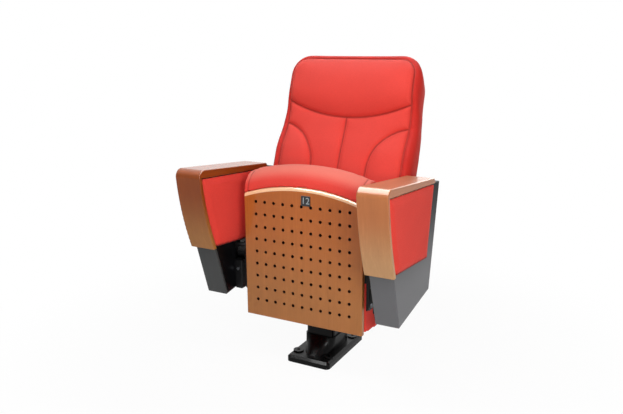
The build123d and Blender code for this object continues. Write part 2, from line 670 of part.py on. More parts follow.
def mechanism_box():
    """Black moulded box over the lower leg of the angle and its bolts, with its front screw."""
    depth = STEEL_IN - COVER_T - BOX_IN
    with BuildPart() as box:
        with BuildSketch(side_plane(BOX_IN)):
            with Locations(((BOX_FRONT + BOX_REAR) / 2, (BOX_LOW + SHELF_Z) / 2)):
                Rectangle(BOX_REAR - BOX_FRONT, SHELF_Z - BOX_LOW)
        extrude(amount=depth)
        fillet(box.faces().sort_by(Axis.X)[0].edges(), BOX_WALL)
        with BuildSketch(side_plane(BOX_IN + BOX_WALL)):
            with Locations(((BOX_FRONT + BOX_REAR) / 2, (BOX_LOW + SHELF_Z) / 2)):
                Rectangle(BOX_REAR - BOX_FRONT - 2 * BOX_WALL, SHELF_Z - BOX_LOW - 2 * BOX_WALL)
        extrude(amount=depth, mode=Mode.SUBTRACT)
        with BuildSketch(side_plane(ANGLE_X - FIT)):
            with Locations(((ANGLE_LOW_FRONT + ANGLE_REAR) / 2, SHELF_Z)):
                Rectangle(ANGLE_REAR - ANGLE_LOW_FRONT + 2 * FIT, 4 * BOX_WALL)
        extrude(amount=depth, mode=Mode.SUBTRACT)
        with BuildSketch(front_plane(BOX_FRONT)):
            with Locations(BOX_SCREW):
                Circle(SCREW_R)
        extrude(amount=-BOX_WALL, mode=Mode.SUBTRACT)
    save_pair(box.part, "mechanism_box")

    with BuildPart() as screws:
        with BuildSketch(front_plane(BOX_FRONT)):
            with Locations(BOX_SCREW):
                Circle(SCREW_HEAD_R)
        extrude(amount=SCREW_R)
        with BuildSketch(front_plane(BOX_FRONT)):
            with Locations(BOX_SCREW):
                Circle(SCREW_R - RUNNING)
        extrude(amount=-3 * BOX_WALL)
        mirror(about=Plane.YZ)
    save(screws.part, "mechanism_box_screws")


def hinge_hub():
    """Bearing housing round the return spring, with its two plain bushes."""
    with BuildPart() as hub:
        with BuildSketch(side_plane(HUB_IN)):
            with Locations((PIVOT_Y, PIVOT_Z)):
                Circle(HUB_R)
                Circle(BUSH_R, mode=Mode.SUBTRACT)
        extrude(amount=ANGLE_X - HUB_IN)
        with BuildSketch(side_plane(HUB_IN + HUB_WALL)):
            with Locations((PIVOT_Y, PIVOT_Z)):
                Circle(HUB_BORE_R)
        extrude(amount=ANGLE_X - HUB_IN, mode=Mode.SUBTRACT)
    save_pair(hub.part, "hinge_hub")

    with BuildPart() as bushes:
        with BuildSketch(side_plane(HUB_IN - BUSH_COLLAR_T)):
            with Locations((PIVOT_Y, PIVOT_Z)):
                Circle(BUSH_COLLAR_R)
        extrude(amount=BUSH_COLLAR_T)
        with BuildSketch(side_plane(HUB_IN)):
            with Locations((PIVOT_Y, PIVOT_Z)):
                Circle(BUSH_R)
        extrude(amount=HUB_WALL)
        with BuildSketch(side_plane(ANGLE_X)):
            with Locations((PIVOT_Y, PIVOT_Z)):
                Circle(BUSH_R)
        extrude(amount=STEEL_IN + STD_WALL - ANGLE_X)
        with BuildSketch(side_plane(WEB_IN)):
            with Locations((PIVOT_Y, PIVOT_Z)):
                Circle(SHAFT_R + RUNNING)
        extrude(amount=SHAFT_END - WEB_IN, mode=Mode.SUBTRACT)
    save_pair(bushes.part, "hinge_bushes")


def pivot_shaft():
    """Stub shaft welded into the seat frame, with the arbor for the spring and a ring groove."""
    arbor_in = HUB_IN + HUB_WALL + SEAM_GAP
    arbor_out = ANGLE_X - SEAM_GAP
    with BuildPart() as shaft:
        with BuildSketch(side_plane(WEB_IN)):
            with Locations((PIVOT_Y, PIVOT_Z)):
                Circle(SHAFT_R)
        extrude(amount=SHAFT_END - WEB_IN)
        with BuildSketch(side_plane(arbor_in)):
            with Locations((PIVOT_Y, PIVOT_Z)):
                Circle(ARBOR_R)
        extrude(amount=arbor_out - arbor_in)
        with BuildSketch(side_plane(CLIP_X)):
            with Locations((PIVOT_Y, PIVOT_Z)):
                Circle(SHAFT_R + CLIP_GROOVE)
                Circle(SHAFT_R - CLIP_GROOVE, mode=Mode.SUBTRACT)
        extrude(amount=CLIP_T + 2 * RUNNING, mode=Mode.SUBTRACT)
    save_pair(shaft.part, "pivot_shaft")

    with BuildPart() as clips:
        with BuildSketch(side_plane(CLIP_X + RUNNING)):
            with Locations((PIVOT_Y, PIVOT_Z)):
                Circle(CLIP_R)
                Circle(SHAFT_R - CLIP_GROOVE + RUNNING, mode=Mode.SUBTRACT)
            with Locations((PIVOT_Y + CLIP_R, PIVOT_Z)):
                Rectangle(2 * (CLIP_R - SHAFT_R + 2 * CLIP_GROOVE), SHAFT_R, mode=Mode.SUBTRACT)
        extrude(amount=CLIP_T)
        mirror(about=Plane.YZ)
    save(clips.part, "shaft_clips")


def spring_point(turn):
    """Point and direction of the spring's centre line after so many turns."""
    start = (HUB_IN + HUB_WALL + ANGLE_X - SPRING_TURNS * SPRING_PITCH) / 2
    angle = 2 * pi * turn
    point = Vector(start + SPRING_PITCH * turn, PIVOT_Y + SPRING_R * cos(angle),
                   PIVOT_Z + SPRING_R * sin(angle))
    around = 2 * pi * SPRING_R
    return point, Vector(SPRING_PITCH, -around * sin(angle), around * cos(angle)).normalized()


def return_spring():
    """Torsion spring: quarter turns of two arcs each, with a straight tail at both ends."""
    steps = 4 * SPRING_TURNS
    with BuildPart() as spring:
        with BuildLine() as path:
            first, first_way = spring_point(0)
            Line(first - first_way * SPRING_TAIL, first)
            for step in range(steps):
                a, way_a = spring_point(step / 4)
                b, way_b = spring_point((step + 1) / 4)
                chord = b - a
                both = way_a + way_b
                bend = 2 * (1 - way_a.dot(way_b))
                reach = (sqrt(chord.dot(both) ** 2 + bend * chord.dot(chord)) - chord.dot(both)) / bend
                near = a + way_a * reach
                far = b - way_b * reach
                joint = (near + far) * 0.5
                TangentArc(a, joint, tangent=way_a)
                TangentArc(joint, b, tangent=far - near)
            last, last_way = spring_point(SPRING_TURNS)
            Line(last, last + last_way * SPRING_TAIL)
        centre_line = path.wires()[0]
        with BuildSketch(Plane(origin=first - first_way * SPRING_TAIL, z_dir=first_way)):
            Circle(SPRING_WIRE / 2)
        sweep(path=centre_line)
    samples = [spring_point(step / 16)[0] for step in range(16 * SPRING_TURNS + 1)]
    pairs = [(i, j) for i in range(len(samples)) for j in range(i + 12, len(samples))]
    gap = min((samples[i] - samples[j]).length for i, j in pairs)
    print("return spring: least gap", round(gap - SPRING_WIRE, 2), "volume over section times length",
          round(spring.part.volume / (pi * SPRING_WIRE ** 2 / 4 * centre_line.length), 4))
    save_pair(spring.part, "return_spring")


def stop_buffers():
    """Rubber buffers on the angle, one where the stop pin rests at each end of the travel."""
    chord = STOP_PIN_R + BUFFER_R + BUFFER_GAP
    apart = 2 * chord / (2 * STOP_R) * 180 / pi * (1 + (chord / (2 * STOP_R)) ** 2 / 6)
    up = about_pivot(STOP_R, STOP_UP_ANGLE - apart)
    down = about_pivot(STOP_R, STOP_UP_ANGLE + TIP_ANGLE + apart)
    with BuildPart() as buffers:
        with BuildSketch(side_plane(BUFFER_IN)):
            with Locations(up, down):
                Circle(BUFFER_R)
        extrude(amount=ANGLE_X - BUFFER_IN)
        fillet(buffers.faces().sort_by(Axis.X)[:2].edges(), BUFFER_EDGE_R)
    save_pair(buffers.part, "stop_buffers")


# ================================================================ tip up seat
FRAME_BACK = SEAT_FRONT + PANEL_T + FRAME_T
INNER_BACK = FRAME_BACK + INNER_T
SEAT_SCREW_Z = [FRAME_RAIL_LOW + 25, 400.0, FRAME_RAIL_TOP - 25]
SEAT_SCREWS = [(x, z) for x in (-FRAME_RAIL_X, FRAME_RAIL_X) for z in SEAT_SCREW_Z]


def seat_under_panel():
    """Perforated plywood panel with a rounded, arched top edge."""
    with BuildPart() as panel:
        with BuildSketch(front_plane(SEAT_FRONT + PANEL_T)):
            add(seat_sketch(SEAT_HALF, SEAT_LOW, ARCH_R))
        extrude(amount=PANEL_T)
        fillet(panel.faces().sort_by(Axis.Y)[0].edges().sort_by(Axis.Z)[-1], ARCH_EDGE_R)
        fillet(panel.faces().sort_by(Axis.Y)[0].edges().filter_by(GeomType.LINE), PANEL_EDGE_R)
        with BuildSketch(front_plane(SEAT_FRONT)):
            with Locations((0, HOLE_MID_Z)):
                with GridLocations(HOLE_PITCH_X, HOLE_PITCH_Z, HOLE_COLUMNS, HOLE_ROWS):
                    Circle(HOLE_R)
        extrude(amount=-PANEL_T, mode=Mode.SUBTRACT)
    save(panel.part, "seat_under_panel")

    with BuildPart() as plate:
        with BuildSketch(front_plane(SEAT_FRONT)):
            with Locations((PLATE_X, PLATE_Z)):
                RectangleRounded(PLATE_SIZE, PLATE_SIZE, PLATE_T)
        extrude(amount=PLATE_T)
        fillet(plate.faces().sort_by(Axis.Y)[0].edges(), PLATE_T / 3)
    save(plate.part, "seat_number_plate")


def frame_sketch(grow=0.0):
    """Front view of the flat steel in the seat frame, grown by a gap."""
    rail_z = (FRAME_RAIL_LOW + FRAME_RAIL_TOP) / 2
    with BuildSketch(Plane.XY) as outline:
        with Locations((0, PIVOT_Z)):
            Rectangle(2 * WEB_IN, FRAME_BAR + 2 * grow)
        with Locations((-FRAME_RAIL_X, rail_z), (FRAME_RAIL_X, rail_z)):
            Rectangle(FRAME_RAIL_W + 2 * grow, FRAME_RAIL_TOP - FRAME_RAIL_LOW + 2 * grow)
    return outline.sketch


def acoustic_felt():
    """Black felt between the perforated panel and the seat board, round the frame."""
    margin = SEAT_HALF - INNER_HALF + 2
    with BuildPart() as felt:
        with BuildSketch(front_plane(FRAME_BACK - SEAM_GAP)):
            add(seat_sketch(SEAT_HALF - margin, SEAT_LOW + 2 * margin, ARCH_R - 2 * margin))
            add(frame_sketch(SEAM_GAP), mode=Mode.SUBTRACT)
        extrude(amount=FRAME_T - SEAM_GAP)
    save(felt.part, "acoustic_felt")


def seat_frame():
    """Welded seat frame: cross flat, two rails, a turned lug at each end."""
    with BuildPart() as frame:
        with BuildSketch(front_plane(FRAME_BACK)):
            add(frame_sketch())
        extrude(amount=FRAME_T)
        with BuildSketch(front_plane(FRAME_BACK)):
            with Locations(*SEAT_SCREWS):
                Circle(SCREW_R + BOLT_PLAY)
        extrude(amount=FRAME_T, mode=Mode.SUBTRACT)
        with BuildSketch(front_plane(FRAME_BACK - FRAME_T / 2)):
            with Locations(*SEAT_SCREWS):
                Circle(SCREW_HEAD_R + BOLT_PLAY)
        extrude(amount=FRAME_T, mode=Mode.SUBTRACT)
        with BuildSketch(side_plane(LUG_IN)):
            with Locations(((FRAME_BACK - FRAME_T + WEB_REAR) / 2, (WEB_LOW + PIVOT_Z) / 2)):
                Rectangle(WEB_REAR - FRAME_BACK + FRAME_T, PIVOT_Z - WEB_LOW)
            with Locations(*WEB_BOLTS):
                Circle(BOLT_R, mode=Mode.SUBTRACT)
        extrude(amount=WEB_IN - LUG_IN)
        mirror(about=Plane.YZ)
    save(frame.part, "seat_frame")


def seat_side_plates():
    """Plates bolted to the frame's lugs: they carry the shafts and the stop pins."""
    with BuildPart() as plate:
        with BuildSketch(side_plane(WEB_IN)) as outline:
            with Locations(((FRAME_BACK - FRAME_T + WEB_REAR) / 2, (WEB_LOW + PIVOT_Z) / 2)):
                Rectangle(WEB_REAR - FRAME_BACK + FRAME_T, PIVOT_Z - WEB_LOW)
            with Locations((PIVOT_Y, PIVOT_Z)):
                Circle(WEB_R)
            fillet(outline.vertices().group_by(Axis.Y)[0], 2 * BOLT_R)
            with Locations((PIVOT_Y, PIVOT_Z)):
                Circle(SHAFT_R, mode=Mode.SUBTRACT)
            with Locations(*WEB_BOLTS):
                Circle(BOLT_R + BOLT_PLAY, mode=Mode.SUBTRACT)
        extrude(amount=WEB_T)
        with BuildSketch(side_plane(WEB_IN + WEB_T)):
            with Locations(about_pivot(STOP_R, STOP_UP_ANGLE)):
                Circle(STOP_PIN_R)
        extrude(amount=STOP_PIN_OUT - WEB_IN - WEB_T)
    save_pair(plate.part, "seat_side_plate")

    with BuildPart() as bolts:
        with BuildSketch(side_plane(WEB_IN + WEB_T)):
            with Locations(*WEB_BOLTS):
                RegularPolygon(BOLT_HEAD_R, 6)
        extrude(amount=BOLT_HEAD_T)
        with BuildSketch(side_plane(LUG_IN)):
            with Locations(*WEB_BOLTS):
                Circle(BOLT_R - RUNNING)
        extrude(amount=WEB_IN + WEB_T - LUG_IN)
        mirror(about=Plane.YZ)
    save(bolts.part, "seat_side_bolts")


def seat_inner_board():
    """Plywood board under the foam, with the screws that hold it to the frame."""
    with BuildPart() as board:
        with BuildSketch(front_plane(INNER_BACK)):
            add(seat_sketch(INNER_HALF, SEAT_LOW + INNER_T, ARCH_R - INNER_T))
            with Locations(*SEAT_SCREWS):
                Circle(SCREW_R, mode=Mode.SUBTRACT)
        extrude(amount=INNER_T)
    save(board.part, "seat_inner_board")

    with BuildPart() as screws:
        with BuildSketch(front_plane(FRAME_BACK - FRAME_T / 2)):
            with Locations(*SEAT_SCREWS):
                Circle(SCREW_HEAD_R)
        extrude(amount=FRAME_T / 2)
        with BuildSketch(front_plane(INNER_BACK - SCREW_TIP)):
            with Locations(*SEAT_SCREWS):
                Circle(SCREW_R - RUNNING)
        extrude(amount=INNER_BACK - SCREW_TIP - FRAME_BACK + FRAME_T / 2)
    save(screws.part, "seat_screws")


def seat_cushion():
    """Foam and cover: crowned face, rounded nose that follows the arch, drawn-in edges."""
    crest = CUSHION_FACE + CUSHION_CROWN
    nose_low = PIVOT_Z + FRAME_BAR
    with BuildPart() as cushion:
        with BuildSketch(side_plane(0)):
            with BuildLine():
                Polyline((NOSE_FRONT, NOSE_LIP_Z), (NOSE_FRONT, NOSE_SPRING_Z - SEAT_ARCH),
                         (CUSHION_BACK, NOSE_SPRING_Z - SEAT_ARCH), (CUSHION_BACK, nose_low),
                         (crest, nose_low), (crest, NOSE_SPRING_Z))
                ThreePointArc((crest, NOSE_SPRING_Z), NOSE_SHOULDER, (NOSE_MID, CUSHION_TOP))
                ThreePointArc((NOSE_MID, CUSHION_TOP), NOSE_BROW, (NOSE_FRONT, NOSE_LIP_Z))
            make_face()
        revolve(axis=Axis((0, 0, ARCH_Z), (0, 1, 0)), revolution_arc=360)
        with BuildSketch(Plane.XY.offset(nose_low)):
            Rectangle(4 * CUSHION_HALF, 4 * CUSHION_HALF)
        extrude(amount=CUSHION_TOP, mode=Mode.INTERSECT)
        with BuildSketch(side_plane(-CUSHION_HALF)) as low:
            with BuildLine():
                Polyline((CUSHION_BACK, nose_low), (CUSHION_BACK, SEAT_LOW + FRAME_T),
                         (CUSHION_TUCK_Y, CUSHION_LOW), (crest, CUSHION_LOW), (crest, nose_low), close=True)
            make_face()
            fillet(low.vertices().group_by(Axis.Y)[0].sort_by(Axis.X)[-1], 1.4 * CUSHION_SIDE_R)
        extrude(amount=2 * CUSHION_HALF)
        with BuildSketch(Plane.XY) as plan:
            with BuildLine():
                Polyline((CUSHION_HALF, CUSHION_FACE), (CUSHION_HALF, SEAT_FRONT),
                         (-CUSHION_HALF, SEAT_FRONT), (-CUSHION_HALF, CUSHION_FACE))
                ThreePointArc((-CUSHION_HALF, CUSHION_FACE), (0, crest), (CUSHION_HALF, CUSHION_FACE))
            make_face()
            fillet(plan.vertices().group_by(Axis.Y)[-1], CUSHION_SIDE_R)
        extrude(amount=2 * CUSHION_TOP, mode=Mode.INTERSECT)
        with BuildSketch(front_plane(CUSHION_BACK)):
            with Locations((0, ARCH_Z)):
                Circle(ARCH_R + FIT)
        extrude(amount=CUSHION_BACK - SEAT_FRONT, mode=Mode.SUBTRACT)
        with BuildSketch(front_plane(INNER_BACK + FIT)):
            add(seat_sketch(INNER_HALF + FIT, SEAT_LOW + INNER_T - FIT, ARCH_R - INNER_T + FIT))
        extrude(amount=INNER_T + 2 * FRAME_T, mode=Mode.SUBTRACT)
    save(cushion.part, "seat_cushion")


# ================================================================ back
def back_screw_places():
    """Where the flange screws stand in the raked plane, right hand side."""
    x = (BACK_FLANGE_IN + BACK_HALF_LOW - BOARD_INSET) / 2
    return [(x, BACK_FLANGE_LOW + FLANGE_SCREW_IN), (x, BACK_FLANGE_TOP - FLANGE_SCREW_IN)]


def back_boards():
    """Plywood board inside the back and the plain rear panel, with their screws."""
    board_back = FOAM_T - BACK_FLANGE_T
    flange_screws = [(side * x, v) for side in (-1, 1) for x, v in back_screw_places()]
    with BuildPart() as board:
        with BuildSketch(BACK_PLANE.offset(-board_back)):
            add(back_sketch(-BOARD_INSET))
            with Locations(*flange_screws, *REAR_SCREWS):
                Circle(SCREW_R, mode=Mode.SUBTRACT)
        extrude(amount=INNER_BACK_T)
    save(board.part, "back_inner_board")

    rear_face = FOAM_T + FIT + REAR_PANEL_T
    with BuildPart() as rear:
        with BuildSketch(BACK_PLANE.offset(-rear_face)):
            add(back_sketch(-REAR_INSET))
        extrude(amount=REAR_PANEL_T)
        fillet(rear.faces().sort_by(Axis.Y)[-1].edges(), WOOD_EDGE_R)
        with BuildSketch(BACK_PLANE.offset(-rear_face)):
            with Locations(*REAR_SCREWS):
                Circle(SCREW_R + BOLT_PLAY)
        extrude(amount=REAR_PANEL_T, mode=Mode.SUBTRACT)
        with BuildSketch(BACK_PLANE.offset(-FOAM_T - FIT)):
            with Locations(*flange_screws):
                Circle(SCREW_HEAD_R + BOLT_PLAY)
        extrude(amount=-SCREW_R - FIT, mode=Mode.SUBTRACT)
    save(rear.part, "back_rear_panel")

    with BuildPart() as screws:
        with BuildSketch(BACK_PLANE.offset(-rear_face - SCREW_R)):
            with Locations(*REAR_SCREWS):
                Circle(SCREW_HEAD_R)
        extrude(amount=SCREW_R)
        with BuildSketch(BACK_PLANE.offset(-rear_face)):
            with Locations(*REAR_SCREWS):
                Circle(SCREW_R - RUNNING)
        extrude(amount=rear_face - board_back + INNER_BACK_T - SCREW_TIP)
        with BuildSketch(BACK_PLANE.offset(-FOAM_T - SCREW_R)):
            with Locations(*flange_screws):
                Circle(SCREW_HEAD_R)
        extrude(amount=SCREW_R)
        with BuildSketch(BACK_PLANE.offset(-FOAM_T)):
            with Locations(*flange_screws):
                Circle(SCREW_R - RUNNING)
        extrude(amount=BACK_FLANGE_T + INNER_BACK_T - SCREW_TIP)
    save(screws.part, "back_screws")


def seam_field(region):
    """One padded field of the back, drawn in from its seams: headrest, bolster or centre."""
    with BuildSketch(Plane.XY) as head:
        with Locations((0, HEAD_SEAM_V + HEAD_SEAM_R)):
            Circle(HEAD_SEAM_R)
    with BuildSketch(Plane.XY) as bolster:
        with Locations((SIDE_SEAM_X, SIDE_SEAM_V)):
            Circle(SIDE_SEAM_R)
            Rectangle(2 * SIDE_SEAM_R, 2 * BACK_TOP, align=(Align.CENTER, Align.MAX))
    with BuildSketch(Plane.XY) as field:
        if region == "headrest":
            add(back_sketch(-HEAD_IN, HEAD_CORNER_R))
            add(head.sketch, mode=Mode.INTERSECT)
        elif region == "bolster":
            add(back_sketch(-FIELD_IN))
            add(bolster.sketch, mode=Mode.INTERSECT)
        else:
            add(back_sketch(-FIELD_IN))
            add(head.sketch, mode=Mode.SUBTRACT)
            add(bolster.sketch, mode=Mode.SUBTRACT)
            Rectangle(2 * BACK_HALF_LOW, 4 * BACK_TOP, align=(Align.MIN, Align.CENTER), mode=Mode.INTERSECT)
        offset(amount=-SEWN_GAP / 2 - PUFF_CORNER_R, mode=Mode.REPLACE)
        offset(amount=PUFF_CORNER_R, mode=Mode.REPLACE)
    return field.sketch


def back_cushion():
    """Moulded foam and cover: five padded fields with sewn channels between them."""
    with BuildPart() as cushion:
        with BuildSketch(BACK_PLANE):
            add(back_sketch())
        extrude(amount=-FOAM_T, taper=FOAM_TAPER)
        front = cushion.faces().sort_by(Axis(BACK_PLANE.origin, BACK_PLANE.z_dir))[-1]
        fillet(front.edges(), FOAM_EDGE_R)
        for region in ("headrest", "bolster", "centre"):
            with BuildPart(mode=Mode.PRIVATE) as puff:
                with BuildSketch(BACK_PLANE.offset(-PUFF_SINK)):
                    add(seam_field(region))
                extrude(amount=PUFF_T + PUFF_SINK)
                top = puff.faces().sort_by(Axis(BACK_PLANE.origin, BACK_PLANE.z_dir))[-1]
                fillet(top.edges(), PUFF_EDGE_R)
            add(puff.part)
            if region != "headrest":
                add(mirror(puff.part, about=Plane.YZ))
        board_back = FOAM_T - BACK_FLANGE_T
        with BuildSketch(BACK_PLANE.offset(-board_back + INNER_BACK_T + FIT)):
            add(back_sketch(FIT - BOARD_INSET))
        extrude(amount=-2 * INNER_BACK_T, mode=Mode.SUBTRACT)
        with BuildSketch(BACK_PLANE.offset(-board_back + FIT)):
            with Locations((0, (BACK_FLANGE_LOW + BACK_FLANGE_TOP) / 2)):
                Rectangle(3 * BACK_HALF_LOW, BACK_FLANGE_TOP - BACK_FLANGE_LOW + 2 * FIT)
        extrude(amount=-2 * BACK_FLANGE_T, mode=Mode.SUBTRACT)
    save(cushion.part, "back_cushion")


# ================================================================ all pieces
def main():
    """Build every piece and write it to parts/."""
    os.makedirs("parts", exist_ok=True)
    foot_casting()
    pedestal_column()
    crossbeam()
    beam_bracket()
    side_standard()
    armrest()
    side_panels()
    bolt_group("beam_bracket_bolts", BEAM_BRACKET_BOLTS, STEEL_IN - BRACKET_T, STEEL_IN + STD_WALL)
    hinge_angle()
    mechanism_box()
    hinge_hub()
    pivot_shaft()
    return_spring()
    stop_buffers()
    bolt_group("hinge_bolts", HINGE_BOLTS, ANGLE_X, STEEL_IN + STD_WALL)
    seat_under_panel()
    acoustic_felt()
    seat_frame()
    seat_side_plates()
    seat_inner_board()
    seat_cushion()
    back_bracket()
    bolt_group("back_bracket_bolts", BACK_BRACKET_BOLTS, STEEL_IN - BRACKET_T, STEEL_IN + STD_WALL)
    back_boards()
    back_cushion()


main()
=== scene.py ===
"""Looks of the tip up auditorium seat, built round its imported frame.

Metres, in the frame's own axes: +X to the right seen from in front, +Y to the rear, +Z up.
Left and right are as seen from in front.
"""

import logging
from dataclasses import dataclass
from enum import Enum
from math import cos, exp, hypot, pi, radians, sin
from typing import Callable

import bmesh
import bpy
from mathutils import Matrix, Vector, noise
from mathutils.kdtree import KDTree


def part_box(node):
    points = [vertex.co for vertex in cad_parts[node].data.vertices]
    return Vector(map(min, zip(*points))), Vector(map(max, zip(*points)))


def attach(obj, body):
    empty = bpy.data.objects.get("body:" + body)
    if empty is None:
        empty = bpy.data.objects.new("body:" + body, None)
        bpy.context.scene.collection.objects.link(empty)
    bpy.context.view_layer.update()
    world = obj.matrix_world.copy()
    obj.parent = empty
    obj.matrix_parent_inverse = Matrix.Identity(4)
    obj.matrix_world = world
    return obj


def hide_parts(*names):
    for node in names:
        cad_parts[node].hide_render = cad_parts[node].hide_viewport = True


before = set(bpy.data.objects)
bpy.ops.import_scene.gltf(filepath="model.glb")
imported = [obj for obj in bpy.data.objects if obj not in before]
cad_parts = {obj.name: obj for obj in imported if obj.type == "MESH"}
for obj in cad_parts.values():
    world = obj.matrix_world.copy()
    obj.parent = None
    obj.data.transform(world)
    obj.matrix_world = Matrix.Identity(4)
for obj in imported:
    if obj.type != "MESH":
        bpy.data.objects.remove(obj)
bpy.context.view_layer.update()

LOG = logging.getLogger("seat")
Colour = tuple[float, float, float]
Room = Callable[[Vector], float]
WEAVE_UV = "weave"
# points marked under this name get painted shade: along the seams, and under the pads' lower edges
PAINTED_SHADE_MARK = "seam"
SIDE_MARK = "side"
PAINTED_TOP_LIGHT_MARK = "painted_top_light"
WELD_GAP = 0.00002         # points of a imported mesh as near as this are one
SEAM_REACH = 4             # how many widths away from a seam its dip is still felt
NO_SEAM = 1.0              # distance given where no seam is near
SEAM_LINE = 0.45           # width of the painted shade line along a seam, as a share of its dip's
SEAM_SHADE_MOST = 1.4      # mark of the painted shadow under a pad's lower edge, at which its cloth is nearly black
ARCH_RADIUS = 0.61706      # upper edge of the seat panel, about the middle below
ARCH_MIDDLE_Z = -0.03206
RAIL_TOP = 0.6126          # a line through the arm's rail, falling towards the rear
RAIL_SLOPE = 0.094
APRON_FRONT = 0.2266       # a line down its apron, leaning forward at the top
APRON_SLOPE = 0.15
BACK_SLOPE = 0.35


def smooth(value: float) -> float:
    """A smooth step from 0 to 1."""
    share = min(1.0, max(0.0, value))
    return share * share * (3 - 2 * share)


def ramp(value: float, span: tuple[float, float]) -> float:
    """A smooth step from 0 to 1, whose span holds where it starts and how far it runs."""
    start, run = span
    return smooth((value - start) / run)


def linear(red: int, green: int, blue: int) -> Colour:
    """Turn an sRGB colour of 0 to 255 into the linear numbers that a shader takes.

    Args:
        red: red, 0 to 255.
        green: green, 0 to 255.
        blue: blue, 0 to 255.

    Returns:
        The linear colour.
    """
    shares = [value / 255 for value in (red, green, blue)]
    return tuple(s / 12.92 if s <= 0.04045 else ((s + 0.055) / 1.055) ** 2.4 for s in shares)


def scaled(colour: Colour, factor: float) -> Colour:
    """A colour times a factor, each part at most 1."""
    return tuple(min(1.0, part * factor) for part in colour)


# ---------------------------------------------------------------- shader maths
class Wire:
    """One output of a shader node. Arithmetic on it adds Math nodes."""

    def __init__(self, shader: "Shader", socket: bpy.types.NodeSocket) -> None:
        """Wrap a socket.

        Args:
            shader: the node tree that the socket is in.
            socket: an output socket.
        """
        self.shader = shader
        self.socket = socket

    def other(self, name: str) -> "Wire":
        """Another output of the same node."""
        return Wire(self.shader, self.socket.node.outputs[name])

    def math(self, operation: str, *values: "Wire | float") -> "Wire":
        """A Math node on this value and others.

        Args:
            operation: Math node operation.
            *values: the second and third value.

        Returns:
            The node's value.
        """
        return self.shader.math(operation, self, *values)

    def __add__(self, value: "Wire | float") -> "Wire":
        """Sum."""
        return self.math("ADD", value)

    def __sub__(self, value: "Wire | float") -> "Wire":
        """Difference."""
        return self.math("SUBTRACT", value)

    def __rsub__(self, value: float) -> "Wire":
        """Difference, with the number first."""
        return self.shader.math("SUBTRACT", value, self)

    def __mul__(self, value: "Wire | float") -> "Wire":
        """Product."""
        return self.math("MULTIPLY", value)

    __radd__ = __add__
    __rmul__ = __mul__

    def sine(self) -> "Wire":
        """Sine of the value in radians."""
        return self.math("SINE")

    def size(self) -> "Wire":
        """The value without its sign."""
        return self.math("ABSOLUTE")

    def larger(self, value: "Wire | float") -> "Wire":
        """The larger of two values."""
        return self.math("MAXIMUM", value)

    def step(self, low: float, high: float) -> "Wire":
        """A smooth step from 0 at low to 1 at high.

        Args:
            low: where the step starts.
            high: where it ends.

        Returns:
            The step's value.
        """
        sockets = {"Value": self, "From Min": low, "From Max": high, "To Min": 0.0, "To Max": 1.0}
        return self.shader.node("ShaderNodeMapRange", {"interpolation_type": "SMOOTHSTEP"}, sockets)


